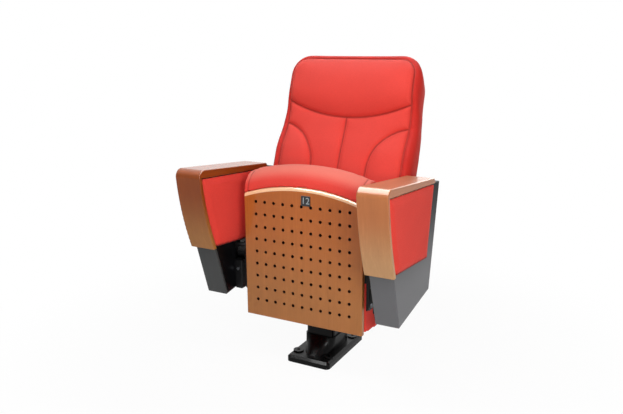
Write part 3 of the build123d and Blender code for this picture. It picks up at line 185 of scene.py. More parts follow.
class Shader:
    """A material's node tree, and the one method that makes its nodes."""

    def __init__(self, tree: bpy.types.NodeTree) -> None:
        """Empty a node tree.

        Args:
            tree: the tree to fill.
        """
        self.tree = tree
        tree.nodes.clear()

    @classmethod
    def of_material(cls, name: str) -> tuple["Shader", bpy.types.Material]:
        """A new material with an empty tree.

        Args:
            name: the material's name.

        Returns:
            The shader and its material.
        """
        material = bpy.data.materials.new(name)
        material.use_nodes = True
        return cls(material.node_tree), material

    def node(self, kind: str, settings: dict | None = None, sockets: dict | None = None,
             out: int | str = 0) -> Wire:
        """Make one node.

        Args:
            kind: the node's type.
            settings: its own settings.
            sockets: values or wires for its inputs, by name or by number.
            out: which output to hand back.

        Returns:
            That output.
        """
        made = self.tree.nodes.new(kind)
        for key, value in (settings or {}).items():
            setattr(made, key, value)
        for key, value in (sockets or {}).items():
            if isinstance(value, Wire):
                self.tree.links.new(value.socket, made.inputs[key])
            elif isinstance(value, tuple) and len(value) == 3 and made.inputs[key].type == "RGBA":
                made.inputs[key].default_value = (*value, 1.0)
            else:
                made.inputs[key].default_value = value
        return Wire(self, made.outputs[out]) if made.outputs else None

    def math(self, operation: str, *values: Wire | float) -> Wire:
        """A Math node."""
        return self.node("ShaderNodeMath", {"operation": operation}, dict(enumerate(values)))

    def mix(self, factor: Wire | float, first: Wire | Colour, second: Wire | Colour) -> Wire:
        """Blend two colours.

        Args:
            factor: 0 is all first and 1 is all second.
            first: one colour.
            second: the other colour.

        Returns:
            The blended colour.
        """
        return self.node("ShaderNodeMix", {"data_type": "RGBA"}, {0: factor, 6: first, 7: second}, out=2)

    def place(self, stretch: tuple[float, float, float] = (1.0, 1.0, 1.0)) -> Wire:
        """Object coordinates, stretched.

        Args:
            stretch: factor along each axis.

        Returns:
            The coordinates.
        """
        coordinates = self.node("ShaderNodeTexCoord", out="Object")
        if stretch == (1.0, 1.0, 1.0):
            return coordinates
        return self.node("ShaderNodeMapping", None, {"Vector": coordinates, "Scale": stretch})

    def marked(self, mark: str) -> Wire:
        """The number that a piece's points carry under a name."""
        return self.node("ShaderNodeAttribute", {"attribute_name": mark}, out="Fac")

    def split(self, vector: Wire) -> tuple[Wire, Wire, Wire]:
        """The three parts of a vector."""
        first = self.node("ShaderNodeSeparateXYZ", None, {"Vector": vector})
        return first, first.other("Y"), first.other("Z")

    def join(self, x: Wire | float, y: Wire | float, z: Wire | float) -> Wire:
        """A vector from its three parts."""
        return self.node("ShaderNodeCombineXYZ", None, {"X": x, "Y": y, "Z": z})

    def noise(self, vector: Wire, scale: float, detail: float = 2.0, rough: float = 0.5) -> Wire:
        """A Noise texture.

        Args:
            vector: where it is read.
            scale: its scale.
            detail: octaves.
            rough: how strong the finer octaves are.

        Returns:
            Its value, about 0.5 in the middle.
        """
        sockets = {"Vector": vector, "Scale": scale, "Detail": detail, "Roughness": rough}
        return self.node("ShaderNodeTexNoise", None, sockets)

    def bump(self, height: Wire, strength: float, distance: float) -> Wire:
        """A Bump node."""
        sockets = {"Height": height, "Strength": strength, "Distance": distance}
        return self.node("ShaderNodeBump", None, sockets)

    def finish(self, sockets: dict) -> None:
        """End the tree in a Principled shader."""
        surface = self.node("ShaderNodeBsdfPrincipled", None, sockets)
        self.node("ShaderNodeOutputMaterial", None, {"Surface": surface})


# ---------------------------------------------------------------- finishes
class Grain(Enum):
    """Which way a piece of wood runs."""

    UP = "up"
    BENT = "bent"
    RAKED = "raked"


@dataclass(frozen=True)
class Finish:
    """A named finish. Each kind fills the tree of its material."""

    name: str

    def make(self) -> bpy.types.Material:
        """Build the material.

        Returns:
            The material.
        """
        shader, material = Shader.of_material(self.name)
        self.shade(shader)
        return material

    def shade(self, shader: Shader) -> None:
        """Fill the material's tree; each kind has its own."""
        raise NotImplementedError


@dataclass(frozen=True)
class Fabric(Finish):
    """Woven upholstery cloth with a short nap."""

    colour: Colour
    side: Colour
    painted_top_light: Colour
    pitch: float = 0.0017
    seam_shade: float = 0.7

    def shade(self, shader: Shader) -> None:
        """Fill the material's tree.

        Args:
            shader: the tree to fill.
        """
        across, along, _ = shader.split(shader.node("ShaderNodeUVMap", {"uv_map": WEAVE_UV}))
        threads = (across * (pi / self.pitch)).sine() * (along * (pi / self.pitch)).sine()
        place = shader.place()
        yarn = shader.noise(place, 620.0, 3.0, 0.6)
        slub = shader.noise(shader.join(across * 0.12, along, 0.0), 900.0, 1.0)
        cloud = shader.noise(place, 8.0, 3.0)
        seam = shader.marked(PAINTED_SHADE_MARK)
        side = shader.marked(SIDE_MARK).step(0.44, 0.56)
        tone = 0.5 + threads * 0.12 + (yarn - 0.5) * 0.9 + (slub - 0.5) * 0.35 + (cloud - 0.5) * 0.5
        dark = shader.mix(side, scaled(self.colour, 0.8), scaled(self.side, 0.8))
        light = shader.mix(side, scaled(self.colour, 1.14), scaled(self.side, 1.14))
        cloth = shader.mix(tone, dark, light)
        # paler where the cloth faces up: a painted highlight on the nose's top
        painted_top_light = shader.marked(PAINTED_TOP_LIGHT_MARK) * (0.9 + (yarn - 0.5) * 0.4)
        cloth = shader.mix(painted_top_light, cloth, self.painted_top_light)
        # painted shade: nearly black along the seams and under the pads' lower edges
        base = shader.mix(seam * self.seam_shade, cloth, scaled(self.colour, 0.16))
        relief = threads * 0.5 + yarn * 0.45 + slub * 0.2
        shader.finish({"Base Color": base, "Roughness": 0.82 - (yarn - 0.5) * 0.2,
                       "Sheen Weight": 0.08, "Sheen Roughness": 0.4, "Sheen Tint": (1.0, 0.72, 0.62),
                       "Specular IOR Level": 0.08, "Normal": shader.bump(relief, 0.45, 0.0005)})


@dataclass(frozen=True)
class HoleGrid:
    """Where the seat panel's drilled holes are, so that their walls can carry painted shade."""

    pitch_x: float = 0.032
    pitch_z: float = 0.040
    middle_z: float = 0.368
    half_x: float = 0.176
    half_z: float = 0.180
    radius: float = 0.0051
    softness: float = 0.0001

    def mask(self, shader: Shader) -> Wire:
        """Where the holes are.

        Args:
            shader: the tree to build in.

        Returns:
            1 inside the holes and 0 on the wood round them.
        """
        x, _, z = shader.split(shader.place())
        level = z - self.middle_z
        across = x.math("WRAP", self.pitch_x / 2, -self.pitch_x / 2)
        up = level.math("WRAP", self.pitch_z / 2, -self.pitch_z / 2)
        away = (across * across + up * up).math("SQRT")
        drilled = x.size().math("LESS_THAN", self.half_x) * level.size().math("LESS_THAN", self.half_z)
        return (1 - away.step(self.radius - self.softness, self.radius + self.softness)) * drilled


@dataclass(frozen=True)
class ArchEdge:
    """The rounded upper edge of the seat panel, painted paler than the face: a painted highlight along the
    edge.
    """

    width: float = 0.011
    softness: float = 0.001
    colour: Colour = (0.90, 0.55, 0.31)

    def mask(self, shader: Shader) -> Wire:
        """Where the rounded edge is.

        Args:
            shader: the tree to build in.

        Returns:
            1 on the edge and 0 on the panel's face.
        """
        x, _, z = shader.split(shader.place())
        up = z - ARCH_MIDDLE_Z
        away = (x * x + up * up).math("SQRT")
        inner = ARCH_RADIUS - self.width
        return away.step(inner - self.softness, inner + self.softness)


@dataclass(frozen=True)
class LacqueredWood(Finish):
    """Stained veneer under a clear gloss lacquer, with fine pores along the grain.

    Its colour goes from `colour` at the upper height to `painted_reflection_colour` at the lower one: paler
    towards the bottom, a painted reflection of the floor.
    """

    colour: Colour
    painted_reflection_colour: Colour
    heights: tuple[float, float]
    grain: Grain
    coat: float = 1.0
    holes: HoleGrid | None = None
    edge: ArchEdge | None = None

    def along(self, shader: Shader) -> tuple[Wire, Wire, Wire]:
        """Coordinates that follow the grain. Bent wood runs along the rail and down the apron.

        Args:
            shader: the tree to build in.

        Returns:
            Across the grain, along it, and into the wood.
        """
        x, y, z = shader.split(shader.place())
        if self.grain is Grain.BENT:
            under_top = RAIL_TOP - y * RAIL_SLOPE - z
            behind_front = y + z * APRON_SLOPE + APRON_FRONT
            return x, z - y, under_top.math("MINIMUM", behind_front)
        if self.grain is Grain.RAKED:
            return x, z + y * BACK_SLOPE, y
        return x, z, y

    def shade(self, shader: Shader) -> None:
        """Fill the material's tree.

        Args:
            shader: the tree to fill.
        """
        across, along, depth = self.along(shader)
        wave = shader.noise(shader.join(across * 3.0, along * 1.2, depth * 3.0), 3.0, 2.0)
        drift = across + (wave - 0.5) * 0.02
        band = shader.noise(shader.join(drift * 26.0, along * 0.9, depth * 26.0), 1.0, 3.0, 0.6)
        streak = shader.noise(shader.join(drift * 210.0, along * 5.0, depth * 210.0), 1.0, 3.0, 0.6)
        pore = shader.noise(shader.join(across * 1100.0, along * 60.0, depth * 1100.0), 1.0, 2.0, 0.7)
        flecks = pore.step(0.60, 0.74)
        tone = (band - 0.5) * 0.6 + (streak - 0.5) * 0.65 + 0.5
        # paler towards the bottom: a painted reflection of the floor
        above_painted_reflection = shader.split(shader.place())[2].step(*self.heights)
        dark, plain, light = (shader.mix(above_painted_reflection, scaled(self.painted_reflection_colour, share), scaled(self.colour, share))
                              for share in (0.62, 1.0, 1.34))
        stain = shader.mix(tone.step(0.0, 0.45), dark, shader.mix(tone.step(0.45, 1.0), plain, light))
        coat = self.coat
        if self.edge is not None:
            edge = self.edge.mask(shader)
            # painted highlight along the rounded arch edge, with full gloss there
            stain = shader.mix(edge * (1.2 - streak * 0.4), stain, self.edge.colour)
            coat = self.coat + edge * (1 - self.coat)
        base = shader.mix(flecks * 0.25, stain, scaled(self.colour, 0.5))
        if self.holes is not None:
            # painted shade: the hole walls are nearly black and without the lacquer's gloss
            hole = self.holes.mask(shader)
            base = shader.mix(hole, base, scaled(self.colour, 0.05))
            coat = (1 - hole) * coat
        relief = streak * 0.5 - flecks
        shader.finish({"Base Color": base, "Roughness": 0.46 - (streak - 0.5) * 0.2, "Coat Weight": coat,
                       "Coat Roughness": 0.09, "Coat IOR": 1.5, "Specular IOR Level": 0.12,
                       "Normal": shader.bump(relief, 0.12, 0.0003)})


@dataclass(frozen=True)
class Paint(Finish):
    """Powder coat or enamel on metal, with the fine ripple of a sprayed skin."""

    colour: Colour
    roughness: float = 0.4
    metallic: float = 0.0
    coat: float = 0.0
    specular: float = 0.5
    ripple: float = 0.1
    ripple_scale: float = 700.0
    # darker and rougher above a height: painted shade on the upper part
    painted_shade_fade: tuple[float, float, float] | None = None

    def shade(self, shader: Shader) -> None:
        """Fill the material's tree.

        Args:
            shader: the tree to fill.
        """
        place = shader.place()
        skin = shader.noise(place, self.ripple_scale, 2.0)
        cloud = shader.noise(place, 5.0, 3.0)
        speck = shader.noise(place, 1500.0, 1.0).step(0.55, 0.8)
        base = shader.mix((cloud - 0.5) * 0.8 + 0.5 + speck * 0.2, scaled(self.colour, 0.9),
                          scaled(self.colour, 1.1))
        roughness = (cloud - 0.5) * 0.12 + self.roughness
        # darker towards the top: painted shade
        if self.painted_shade_fade is not None:
            low, high, share = self.painted_shade_fade
            height = shader.split(place)[2].step(low, high)
            base = shader.mix(height, base, scaled(self.colour, share))
            roughness = roughness + height * 0.4
        shader.finish({"Base Color": base, "Roughness": roughness,
                       "Metallic": self.metallic, "Coat Weight": self.coat, "Coat Roughness": 0.06,
                       "Specular IOR Level": self.specular,
                       "Normal": shader.bump(skin, self.ripple, 0.0004)})


@dataclass(frozen=True)
class BareMetal(Finish):
    """Plated or turned steel, slightly streaked."""

    colour: Colour
    roughness: float = 0.28
    streaks: float = 0.12

    def shade(self, shader: Shader) -> None:
        """Fill the material's tree.

        Args:
            shader: the tree to fill.
        """
        streak = shader.noise(shader.place((900.0, 60.0, 60.0)), 1.0, 2.0)
        cloud = shader.noise(shader.place(), 60.0, 3.0)
        base = shader.mix(cloud, scaled(self.colour, 0.82), scaled(self.colour, 1.12))
        shader.finish({"Base Color": base, "Metallic": 1.0,
                       "Roughness": self.roughness + (streak - 0.5) * self.streaks + (cloud - 0.5) * 0.1,
                       "Normal": shader.bump(streak, 0.05, 0.0002)})


@dataclass(frozen=True)
class Moulded(Finish):
    """Moulded plastic or rubber with a fine spark eroded texture."""

    colour: Colour
    roughness: float = 0.5
    grain: float = 0.2
    specular: float = 0.5

    def shade(self, shader: Shader) -> None:
        """Fill the material's tree.

        Args:
            shader: the tree to fill.
        """
        place = shader.place()
        pebble = shader.noise(place, 1300.0, 2.0)
        cloud = shader.noise(place, 14.0, 2.0)
        base = shader.mix(cloud, scaled(self.colour, 0.85), scaled(self.colour, 1.2))
        shader.finish({"Base Color": base, "Roughness": self.roughness + (cloud - 0.5) * 0.15,
                       "Specular IOR Level": self.specular,
                       "Normal": shader.bump(pebble, self.grain, 0.0003)})


@dataclass(frozen=True)
class Plywood(Finish):
    """Bare birch board with its layers showing on the edges."""

    colour: Colour
    layer: float = 0.0015

    def shade(self, shader: Shader) -> None:
        """Fill the material's tree.

        Args:
            shader: the tree to fill.
        """
        x, y, z = shader.split(shader.place())
        grain = shader.noise(shader.join(x * 160.0, y * 160.0, z * 7.0), 1.0, 3.0)
        layers = (y * (pi / self.layer)).sine().step(-0.3, 0.3)
        tone = (grain - 0.5) * 0.9 + 0.35 + layers * 0.3
        base = shader.mix(tone, scaled(self.colour, 0.6), scaled(self.colour, 1.15))
        shader.finish({"Base Color": base, "Roughness": 0.62 - (grain - 0.5) * 0.2,
                       "Normal": shader.bump(grain, 0.15, 0.0003)})


@dataclass(frozen=True)
class Felt(Finish):
    """Pressed black felt."""

    colour: Colour

    def shade(self, shader: Shader) -> None:
        """Fill the material's tree.

        Args:
            shader: the tree to fill.
        """
        place = shader.place()
        fibre = shader.noise(place, 900.0, 4.0, 0.7)
        base = shader.mix(fibre, scaled(self.colour, 0.5), scaled(self.colour, 1.6))
        shader.finish({"Base Color": base, "Roughness": 0.95 - (fibre - 0.5) * 0.1, "Sheen Weight": 0.1,
                       "Specular IOR Level": 0.1, "Normal": shader.bump(fibre, 0.6, 0.0006)})


# the third colour is the paler one painted where the cloth faces up, a painted highlight
CORAL = Fabric("coral_weave", linear(224, 66, 56), linear(200, 43, 35), linear(226, 114, 98))
# each wood's second colour is its lower part painted paler, a painted reflection of the floor
PANEL_WOOD = LacqueredWood("panel_veneer", linear(169, 91, 35), linear(160, 101, 51),
                           (0.2, 0.56), Grain.UP, 0.4, HoleGrid(), ArchEdge())
ARM_WOOD = LacqueredWood("arm_veneer", linear(166, 100, 57), linear(177, 133, 90), (0.4, 0.58),
                         Grain.BENT, 0.36)
# a darker copy of the arm veneer for the left arm: painted shade
SHADED_ARM_WOOD = LacqueredWood("shaded_arm_veneer", linear(133, 61, 12), linear(158, 103, 48), (0.4, 0.58),
                              Grain.BENT, 0.36)
REAR_WOOD = LacqueredWood("rear_veneer", linear(169, 91, 35), linear(160, 101, 51), (0.3, 0.9),
                          Grain.RAKED, 0.6)
GREY_PAINT = Paint("grey_powder_coat", linear(96, 96, 98), 0.42, 0.1, specular=0.25,
                   painted_shade_fade=(0.30, 0.60, 0.12))
# a darker copy of the grey paint for the left standard: painted shade
SHADED_GREY_PAINT = Paint("shaded_grey_powder_coat", linear(60, 61, 61), 0.42, 0.1, specular=0.25,
                        painted_shade_fade=(0.30, 0.60, 0.16))
BLACK_PAINT = Paint("black_powder_coat", linear(10, 10, 11), 0.45, specular=0.2)
BLACK_ENAMEL = Paint("black_enamel", linear(4, 4, 4), 0.34, coat=0.09, specular=0.07, ripple=0.25,
                     ripple_scale=160.0)
# near-black on the standard's inner face: painted shade
SHADE_COVER_GLOSS = Paint("shaded_cover_enamel", linear(8, 8, 10), 0.3, specular=0.2, ripple=0.06)
BOX_PLASTIC = Moulded("box_plastic", linear(12, 12, 13), 0.45, specular=0.25)
PLATE_PLASTIC = Moulded("plate_plastic", linear(24, 25, 28), 0.3, 0.05)
RUBBER = Moulded("buffer_rubber", linear(26, 26, 26), 0.75, 0.4, 0.3)
NYLON = Moulded("bush_nylon", linear(222, 220, 210), 0.45, 0.08)
ZINC = BareMetal("zinc_plate", linear(186, 190, 196), 0.3)
BLACK_ZINC = BareMetal("black_zinc_plate", linear(44, 45, 48), 0.3)
TURNED = BareMetal("turned_steel", linear(170, 172, 176), 0.22, 0.2)
SPRING = BareMetal("oiled_spring_steel", linear(118, 120, 124), 0.35)
BARE_PLY = Plywood("birch_ply", linear(196, 164, 120))
BLACK_FELT = Felt("pressed_felt", linear(22, 22, 23))
PLATE_FIGURE = Paint("figure_paint", linear(150, 158, 162), 0.4)


# ---------------------------------------------------------------- mesh tools
def into_scene(name: str, data: bpy.types.ID) -> bpy.types.Object:
    """Make an object and put it into the scene.

    Args:
        name: the object's name.
        data: its mesh, text, lamp or camera.

    Returns:
        The new object.
    """
    made = bpy.data.objects.new(name, data)
    bpy.context.scene.collection.objects.link(made)
    return made


def piece_from(bm: bmesh.types.BMesh, name: str) -> bpy.types.Object:
    """Turn a bmesh into an object of the scene.

    Args:
        bm: the shape, which is freed.
        name: the piece's name.

    Returns:
        The new object.
    """
    mesh = bpy.data.meshes.new(name)
    bm.to_mesh(mesh)
    bm.free()
    return into_scene(name, mesh)


def merged_copy(node: str) -> bmesh.types.BMesh:
    """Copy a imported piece's mesh and weld it.

    Args:
        node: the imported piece's name.

    Returns:
        The welded copy.
    """
    bm = bmesh.new()
    bm.from_mesh(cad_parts[node].data)
    bmesh.ops.remove_doubles(bm, verts=bm.verts, dist=WELD_GAP)
    return bm


def settle(piece: bpy.types.Object) -> None:
    """Put the result of a piece's modifiers into its mesh.

    Args:
        piece: the piece.
    """
    bpy.context.view_layer.update()
    graph = bpy.context.evaluated_depsgraph_get()
    mesh = bpy.data.meshes.new_from_object(piece.evaluated_get(graph))
    old = piece.data
    piece.modifiers.clear()
    piece.data = mesh
    mesh.name = piece.name
    bpy.data.meshes.remove(old)


def remesh(piece: bpy.types.Object, size: float) -> None:
    """Give a closed piece an even skin of small squares.

    Args:
        piece: the piece.
        size: length of a square's side.
    """
    modifier = piece.modifiers.new("even", "REMESH")
    modifier.mode = "VOXEL"
    modifier.voxel_size = size
    settle(piece)


def subdivide(piece: bpy.types.Object, levels: int = 1) -> None:
    """Subdivide a piece smoothly and keep the result.

    Args:
        piece: the piece.
        levels: how many times.
    """
    modifier = piece.modifiers.new("finer", "SUBSURF")
    modifier.levels = levels
    modifier.render_levels = levels
    settle(piece)


def relax(piece: bpy.types.Object, rounds: int, free: Room) -> None:
    """Smooth the points that have room to move.

    Args:
        piece: the piece.
        rounds: how often.
        free: room of a point; a point with none stays.
    """
    bm = bmesh.new()
    bm.from_mesh(piece.data)
    loose = [vert for vert in bm.verts if free(vert.co) > 0]
    for _ in range(rounds):
        bmesh.ops.smooth_vert(bm, verts=loose, factor=0.5, use_axis_x=True, use_axis_y=True, use_axis_z=True)
    bm.to_mesh(piece.data)
    bm.free()


def mark_points(piece: bpy.types.Object, mark: str, share: Callable[[Vector, Vector], float]) -> None:
    """Write a number on each point of a piece, for its cloth to read.

    Args:
        piece: the piece.
        mark: the name that the numbers go under.
        share: the number for a point and its normal.
    """
    numbers = piece.data.attributes.new(mark, "FLOAT", "POINT").data
    for vert in piece.data.vertices:
        numbers[vert.index].value = share(vert.co, vert.normal)


def press(piece: bpy.types.Object, seam: Callable[[Vector, Vector], float], depth: float,
          width: float) -> None:
    """Press sewn channels into a piece and mark painted shade along them for its cloth.

    Args:
        piece: the piece.
        seam: distance from a point, with its normal, to the nearest seam.
        depth: how deep a channel is at its middle.
        width: how far from the seam the cloth still dips.
    """
    mesh = piece.data
    mark = mesh.attributes.new(PAINTED_SHADE_MARK, "FLOAT", "POINT")
    moves = []
    for index, vert in enumerate(mesh.vertices):
        near = seam(vert.co, vert.normal)
        if near < SEAM_REACH * width:
            dip = exp(-near / width)
            shade = exp(-(near / (SEAM_LINE * width)) ** 2)
            moves.append((index, vert.co - vert.normal * depth * dip, shade))
    for index, place, shade in moves:
        mesh.vertices[index].co = place
        mark.data[index].value = shade


def swell(piece: bpy.types.Object, room: Room, pressure: float = 4.0, frames: int = 20) -> None:
    """Blow a cushion up with a short cloth simulation and keep the result.

    Args:
        piece: the piece.
        room: how far a point may move; where this is 0, the cloth is held.
        pressure: air pressure inside.
        frames: length of the simulation.
    """
    mesh = piece.data
    start = [vert.co.copy() for vert in mesh.vertices]
    allowed = [room(point) for point in start]
    held = piece.vertex_groups.new(name="held")
    held.add([index for index, most in enumerate(allowed) if most <= 0], 1.0, "REPLACE")
    modifier = piece.modifiers.new("swell", "CLOTH")
    cloth = modifier.settings
    cloth.quality = 5
    cloth.use_pressure = True
    cloth.uniform_pressure_force = pressure
    cloth.vertex_group_mass = "held"
    cloth.effector_weights.gravity = 0.0
    modifier.collision_settings.use_collision = False
    modifier.point_cache.frame_start = 1
    modifier.point_cache.frame_end = frames
    scene = bpy.context.scene
    for number in range(1, frames + 1):
        scene.frame_set(number)
    settle(piece)
    scene.frame_set(1)
    piece.vertex_groups.clear()
    for vert, place, most in zip(piece.data.vertices, start, allowed):
        move = vert.co - place
        if move.length > most:
            vert.co = place + move * (most / max(move.length, 1e-9))


def write_weave(piece: bpy.types.Object) -> None:
    """Lay the weave's own UV map on a piece in metres, seen along each face's main direction.

    Args:
        piece: the piece.
    """
    bm = bmesh.new()
    bm.from_mesh(piece.data)
    layer = bm.loops.layers.uv.new(WEAVE_UV)
    for face in bm.faces:
        face.smooth = True
        main = max(range(3), key=lambda axis: abs(face.normal[axis]))
        first, second = [axis for axis in range(3) if axis != main]
        for loop in face.loops:
            loop[layer].uv = (loop.vert.co[first], loop.vert.co[second])
    bm.to_mesh(piece.data)
    bm.free()


def put_on(piece: bpy.types.Object, material: bpy.types.Material) -> None:
    """Give a piece one material all over."""
    piece.data.materials.clear()
    piece.data.materials.append(material)


def hand_over(piece: bpy.types.Object, body: str, nodes: tuple[str, ...] = ()) -> None:
    """Give a finished piece to the frame.

    Args:
        piece: the piece.
        body: the body that it moves with.
        nodes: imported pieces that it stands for.
    """
    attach(piece, body)
    if nodes:
        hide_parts(*nodes)
    LOG.info("%s: %d points, on %s", piece.name, len(piece.data.vertices), body)


# ---------------------------------------------------------------- back
@dataclass
class BackCushion:
    """Moulded back: headrest, two bolsters, two middle fields and a darker gusset round them.

    It is shaped lying flat, with x across, y up the back and z forward, and raked at the end.
    A pair named _rise or _fall holds where a step starts and how far it runs.
    """

    origin_y: float = 0.102
    origin_z: float = 0.601
    rake: float = 20.6
    half_low: float = 0.2485
    half_top: float = 0.236
    low: float = -0.154
    waist: float = 0.100
    shoulder: float = 0.238
    top: float = 0.381
    depth: float = 0.064
    head_seam_r: float = 0.526
    head_seam_v: float = 0.168
    side_seam_r: float = 0.1475
    side_seam_x: float = 0.246
    side_seam_v: float = -0.005
    face_half: float = 0.221
    face_low: float = -0.142
    face_top: float = 0.366
    face_corner: float = 0.055
    face_low_corner: float = 0.02
    foot_corner: float = 0.016
    waist_corner: float = 0.030
    forward: float = 0.019
    front_rise: tuple[float, float] = (-0.045, 0.05)
    head_rise: tuple[float, float] = (0.17, 0.09)
    low_fall: tuple[float, float] = (0.04, 0.10)
    wing_rise: tuple[float, float] = (0.085, 0.06)
    middle_share: float = 0.45
    field_lift: float = 0.007
    field_slope: float = 0.011
    rim_slope: float = 0.020
    field_depth: float = 0.006
    head_lift: float = 0.006
    head_height: float = 0.17
    board_level: float = -0.052
    front_level: float = -0.005
    front_facing: float = 0.1
    low_held: float = 0.006
    seam_held: float = 0.003
    face_room: float = 0.005
    gusset_room: float = 0.0025
    gusset_room_y: float = 0.05
    gusset_level: float = -0.03
    gusset_seam: float = 0.01
    bracket_x: float = 0.185
    bracket_y: tuple[float, float] = (-0.141, -0.041)
    bracket_touch: float = -0.0595
    bracket_level: float = -0.0592
    cell: float = 0.005

    def ring(self, bm: bmesh.types.BMesh, grow: float, corner: float,
             level: float) -> list[bmesh.types.BMEdge]:
        """One closed outline of the back.

        Args:
            bm: where it is made.
            grow: how far it stands out over the plain outline.
            corner: radius of the upper corners.
            level: its z.

        Returns:
            The outline's edges.
        """
        wide, slim, top = self.half_low + grow, self.half_top + grow, self.top + grow
        points = [(-wide, self.low), (wide, self.low), (wide, self.waist), (slim, self.shoulder),
                  (slim, top), (-slim, top), (-slim, self.shoulder), (-wide, self.waist)]
        verts = [bm.verts.new((x, y, level)) for x, y in points]
        face = bm.faces.new(verts)
        for indices, radius, segments in (((4, 5), corner, 10), ((0, 1), self.foot_corner, 3),
                                          ((2, 3, 6, 7), self.waist_corner, 3)):
            bmesh.ops.bevel(bm, geom=[verts[i] for i in indices], offset=radius, offset_type="OFFSET",
                            affect="VERTICES", segments=segments, profile=0.5, material=-1)
        face = min(bm.faces, key=lambda f: abs(f.calc_center_median().z - level))
        edges = list(face.edges)
        bm.faces.remove(face)
        return edges

    def shell(self) -> bpy.types.Object:
        """The closed form before its fields swell: lofted rings with a pocket for the board.

        Each ring has how far it stands out, the radius of its upper corners and its level.

        Returns:
            The piece, lying flat.
        """
        bm = bmesh.new()
        levels = [(-0.013, 0.099, -0.0495), (-0.013, 0.099, -self.depth), (-0.006, 0.106, -self.depth),
                  (-0.003, 0.104, -0.045), (0.000, 0.085, -0.022), (0.000, 0.070, -0.010),
                  (-0.003, 0.066, -0.002), (-0.010, 0.062, 0.004), (-0.020, 0.056, 0.007),
                  (-0.030, 0.050, 0.008)]
        rings = [self.ring(bm, grow, corner, level) for grow, corner, level in levels]
        for first, second in zip(rings, rings[1:]):
            bmesh.ops.bridge_loops(bm, edges=first + second)
        for ring in (rings[0], rings[-1]):
            bmesh.ops.contextual_create(bm, geom=ring)
        bmesh.ops.recalc_face_normals(bm, faces=bm.faces)
        return piece_from(bm, "back_cushion_cover")

    def edge_gap(self, point: Vector) -> float:
        """Distance outside the seam that joins the front to the gusset; less than 0 on the fields.

        Args:
            point: a point of the piece lying flat.

        Returns:
            The distance.
        """
        middle = (self.face_top + self.face_low) / 2
        corner = self.face_corner if point.y > middle else self.face_low_corner
        across = abs(point.x) - self.face_half + corner
        up = abs(point.y - middle) - self.face_top + middle + corner
        return hypot(max(across, 0.0), max(up, 0.0)) + min(max(across, up), 0.0) - corner

    def head_gap(self, point: Vector) -> float:
        """How far a point lies above the headrest's curved seam; less than 0 below it."""
        return self.head_seam_r - hypot(point.x, point.y - self.head_seam_v - self.head_seam_r)

    def seam_gap(self, point: Vector) -> float:
        """Distance on the front from a point to the nearest seam between the fields.

        Args:
            point: a point of the piece lying flat.

        Returns:
            The distance.
        """
        across, up = abs(point.x), point.y
        head = self.head_gap(point)
        if up > self.side_seam_v:
            side = hypot(across - self.side_seam_x, up - self.side_seam_v) - self.side_seam_r
        else:
            side = self.side_seam_x - self.side_seam_r - across
        gaps = [abs(head), abs(self.edge_gap(point))]
        if head < 0:
            gaps.append(abs(side))
            if side > 0:
                gaps.append(across)
        return min(gaps)

    def stands(self, point: Vector) -> float:
        """How far the front as a whole stands forward: at the headrest and, less so, at the bolsters.

        Args:
            point: a point of the piece lying flat.

        Returns:
            The distance.
        """
        head = ramp(point.y, self.head_rise)
        low = 1 - ramp(point.y, self.low_fall)
        wing = self.middle_share + (1 - self.middle_share) * ramp(abs(point.x), self.wing_rise)
        return self.forward * (head + low * wing)

    def swollen(self, point: Vector) -> float:
        """How far a field stands up over its seams at a point of the front.

        Args:
            point: a point of the piece lying flat.

        Returns:
            The height.
        """
        inside = max(0.0, -self.edge_gap(point))
        over_seam = self.field_lift * (1 - exp(-self.seam_gap(point) / self.field_slope))
        over_rim = self.field_lift * (1 - exp(-inside / self.rim_slope))
        up_head = min(1.0, max(0.0, self.head_gap(point)) / self.head_height)
        return over_seam + over_rim + self.head_lift * sin(up_head * pi)

    def room(self, point: Vector) -> float:
        """How far a point may swell: nothing at the seams, the board and the lower edge.

        Args:
            point: a point of the piece lying flat.

        Returns:
            The room.
        """
        if point.z < self.board_level or point.y < self.low + self.low_held:
            return 0.0
        if point.z > 0 and self.seam_gap(point) < self.seam_held:
            return 0.0
        if self.edge_gap(point) > 0:
            return self.gusset_room if point.y > self.gusset_room_y else 0.0
        return self.face_room

    def seams(self, point: Vector, normal: Vector) -> float:
        """Distance to the nearest seam, on the front or where the gusset joins it.

        Args:
            point: a point of the piece lying flat.
            normal: the cloth's direction there.

        Returns:
            The distance.
        """
        if point.z < self.front_level or normal.z < self.front_facing:
            return NO_SEAM
        return abs(self.edge_gap(point)) if self.edge_gap(point) > 0 else self.seam_gap(point)

    def build(self) -> None:
        """Model the cushion, dress it and hand it over."""
        piece = self.shell()
        remesh(piece, self.cell)
        for vert in piece.data.vertices:
            point = vert.co.copy()
            vert.co.z += self.stands(point) * ramp(point.z, self.front_rise)
            if point.z > 0.0:
                vert.co.z += self.swollen(point) * min(1.0, point.z / self.field_depth)
        relax(piece, 3, lambda point: self.room(point) if self.seam_gap(point) > 2 * self.seam_held else 0.0)
        swell(piece, self.room)
        subdivide(piece)
        piece.data.update()
        press(piece, self.seams, depth=0.0065, width=0.0042)
        self.clear_brackets(piece)
        write_weave(piece)
        mark_points(piece, SIDE_MARK, self.gusset)
        put_on(piece, CORAL.make())
        turn = Matrix.Translation((0.0, self.origin_y, self.origin_z)) @ Matrix.Rotation(
            radians(90.0 - self.rake), 4, "X")
        piece.data.transform(turn)
        hand_over(piece, "stand", ("back_cushion",))

    def clear_brackets(self, piece: bpy.types.Object) -> None:
        """Lift the cushion's rear off the two brackets that it would touch.

        Args:
            piece: the piece, still lying flat.
        """
        low, high = self.bracket_y
        for vert in piece.data.vertices:
            by_bracket = abs(vert.co.x) > self.bracket_x and low < vert.co.y < high
            if by_bracket and vert.co.z < self.bracket_touch:
                vert.co.z = self.bracket_level

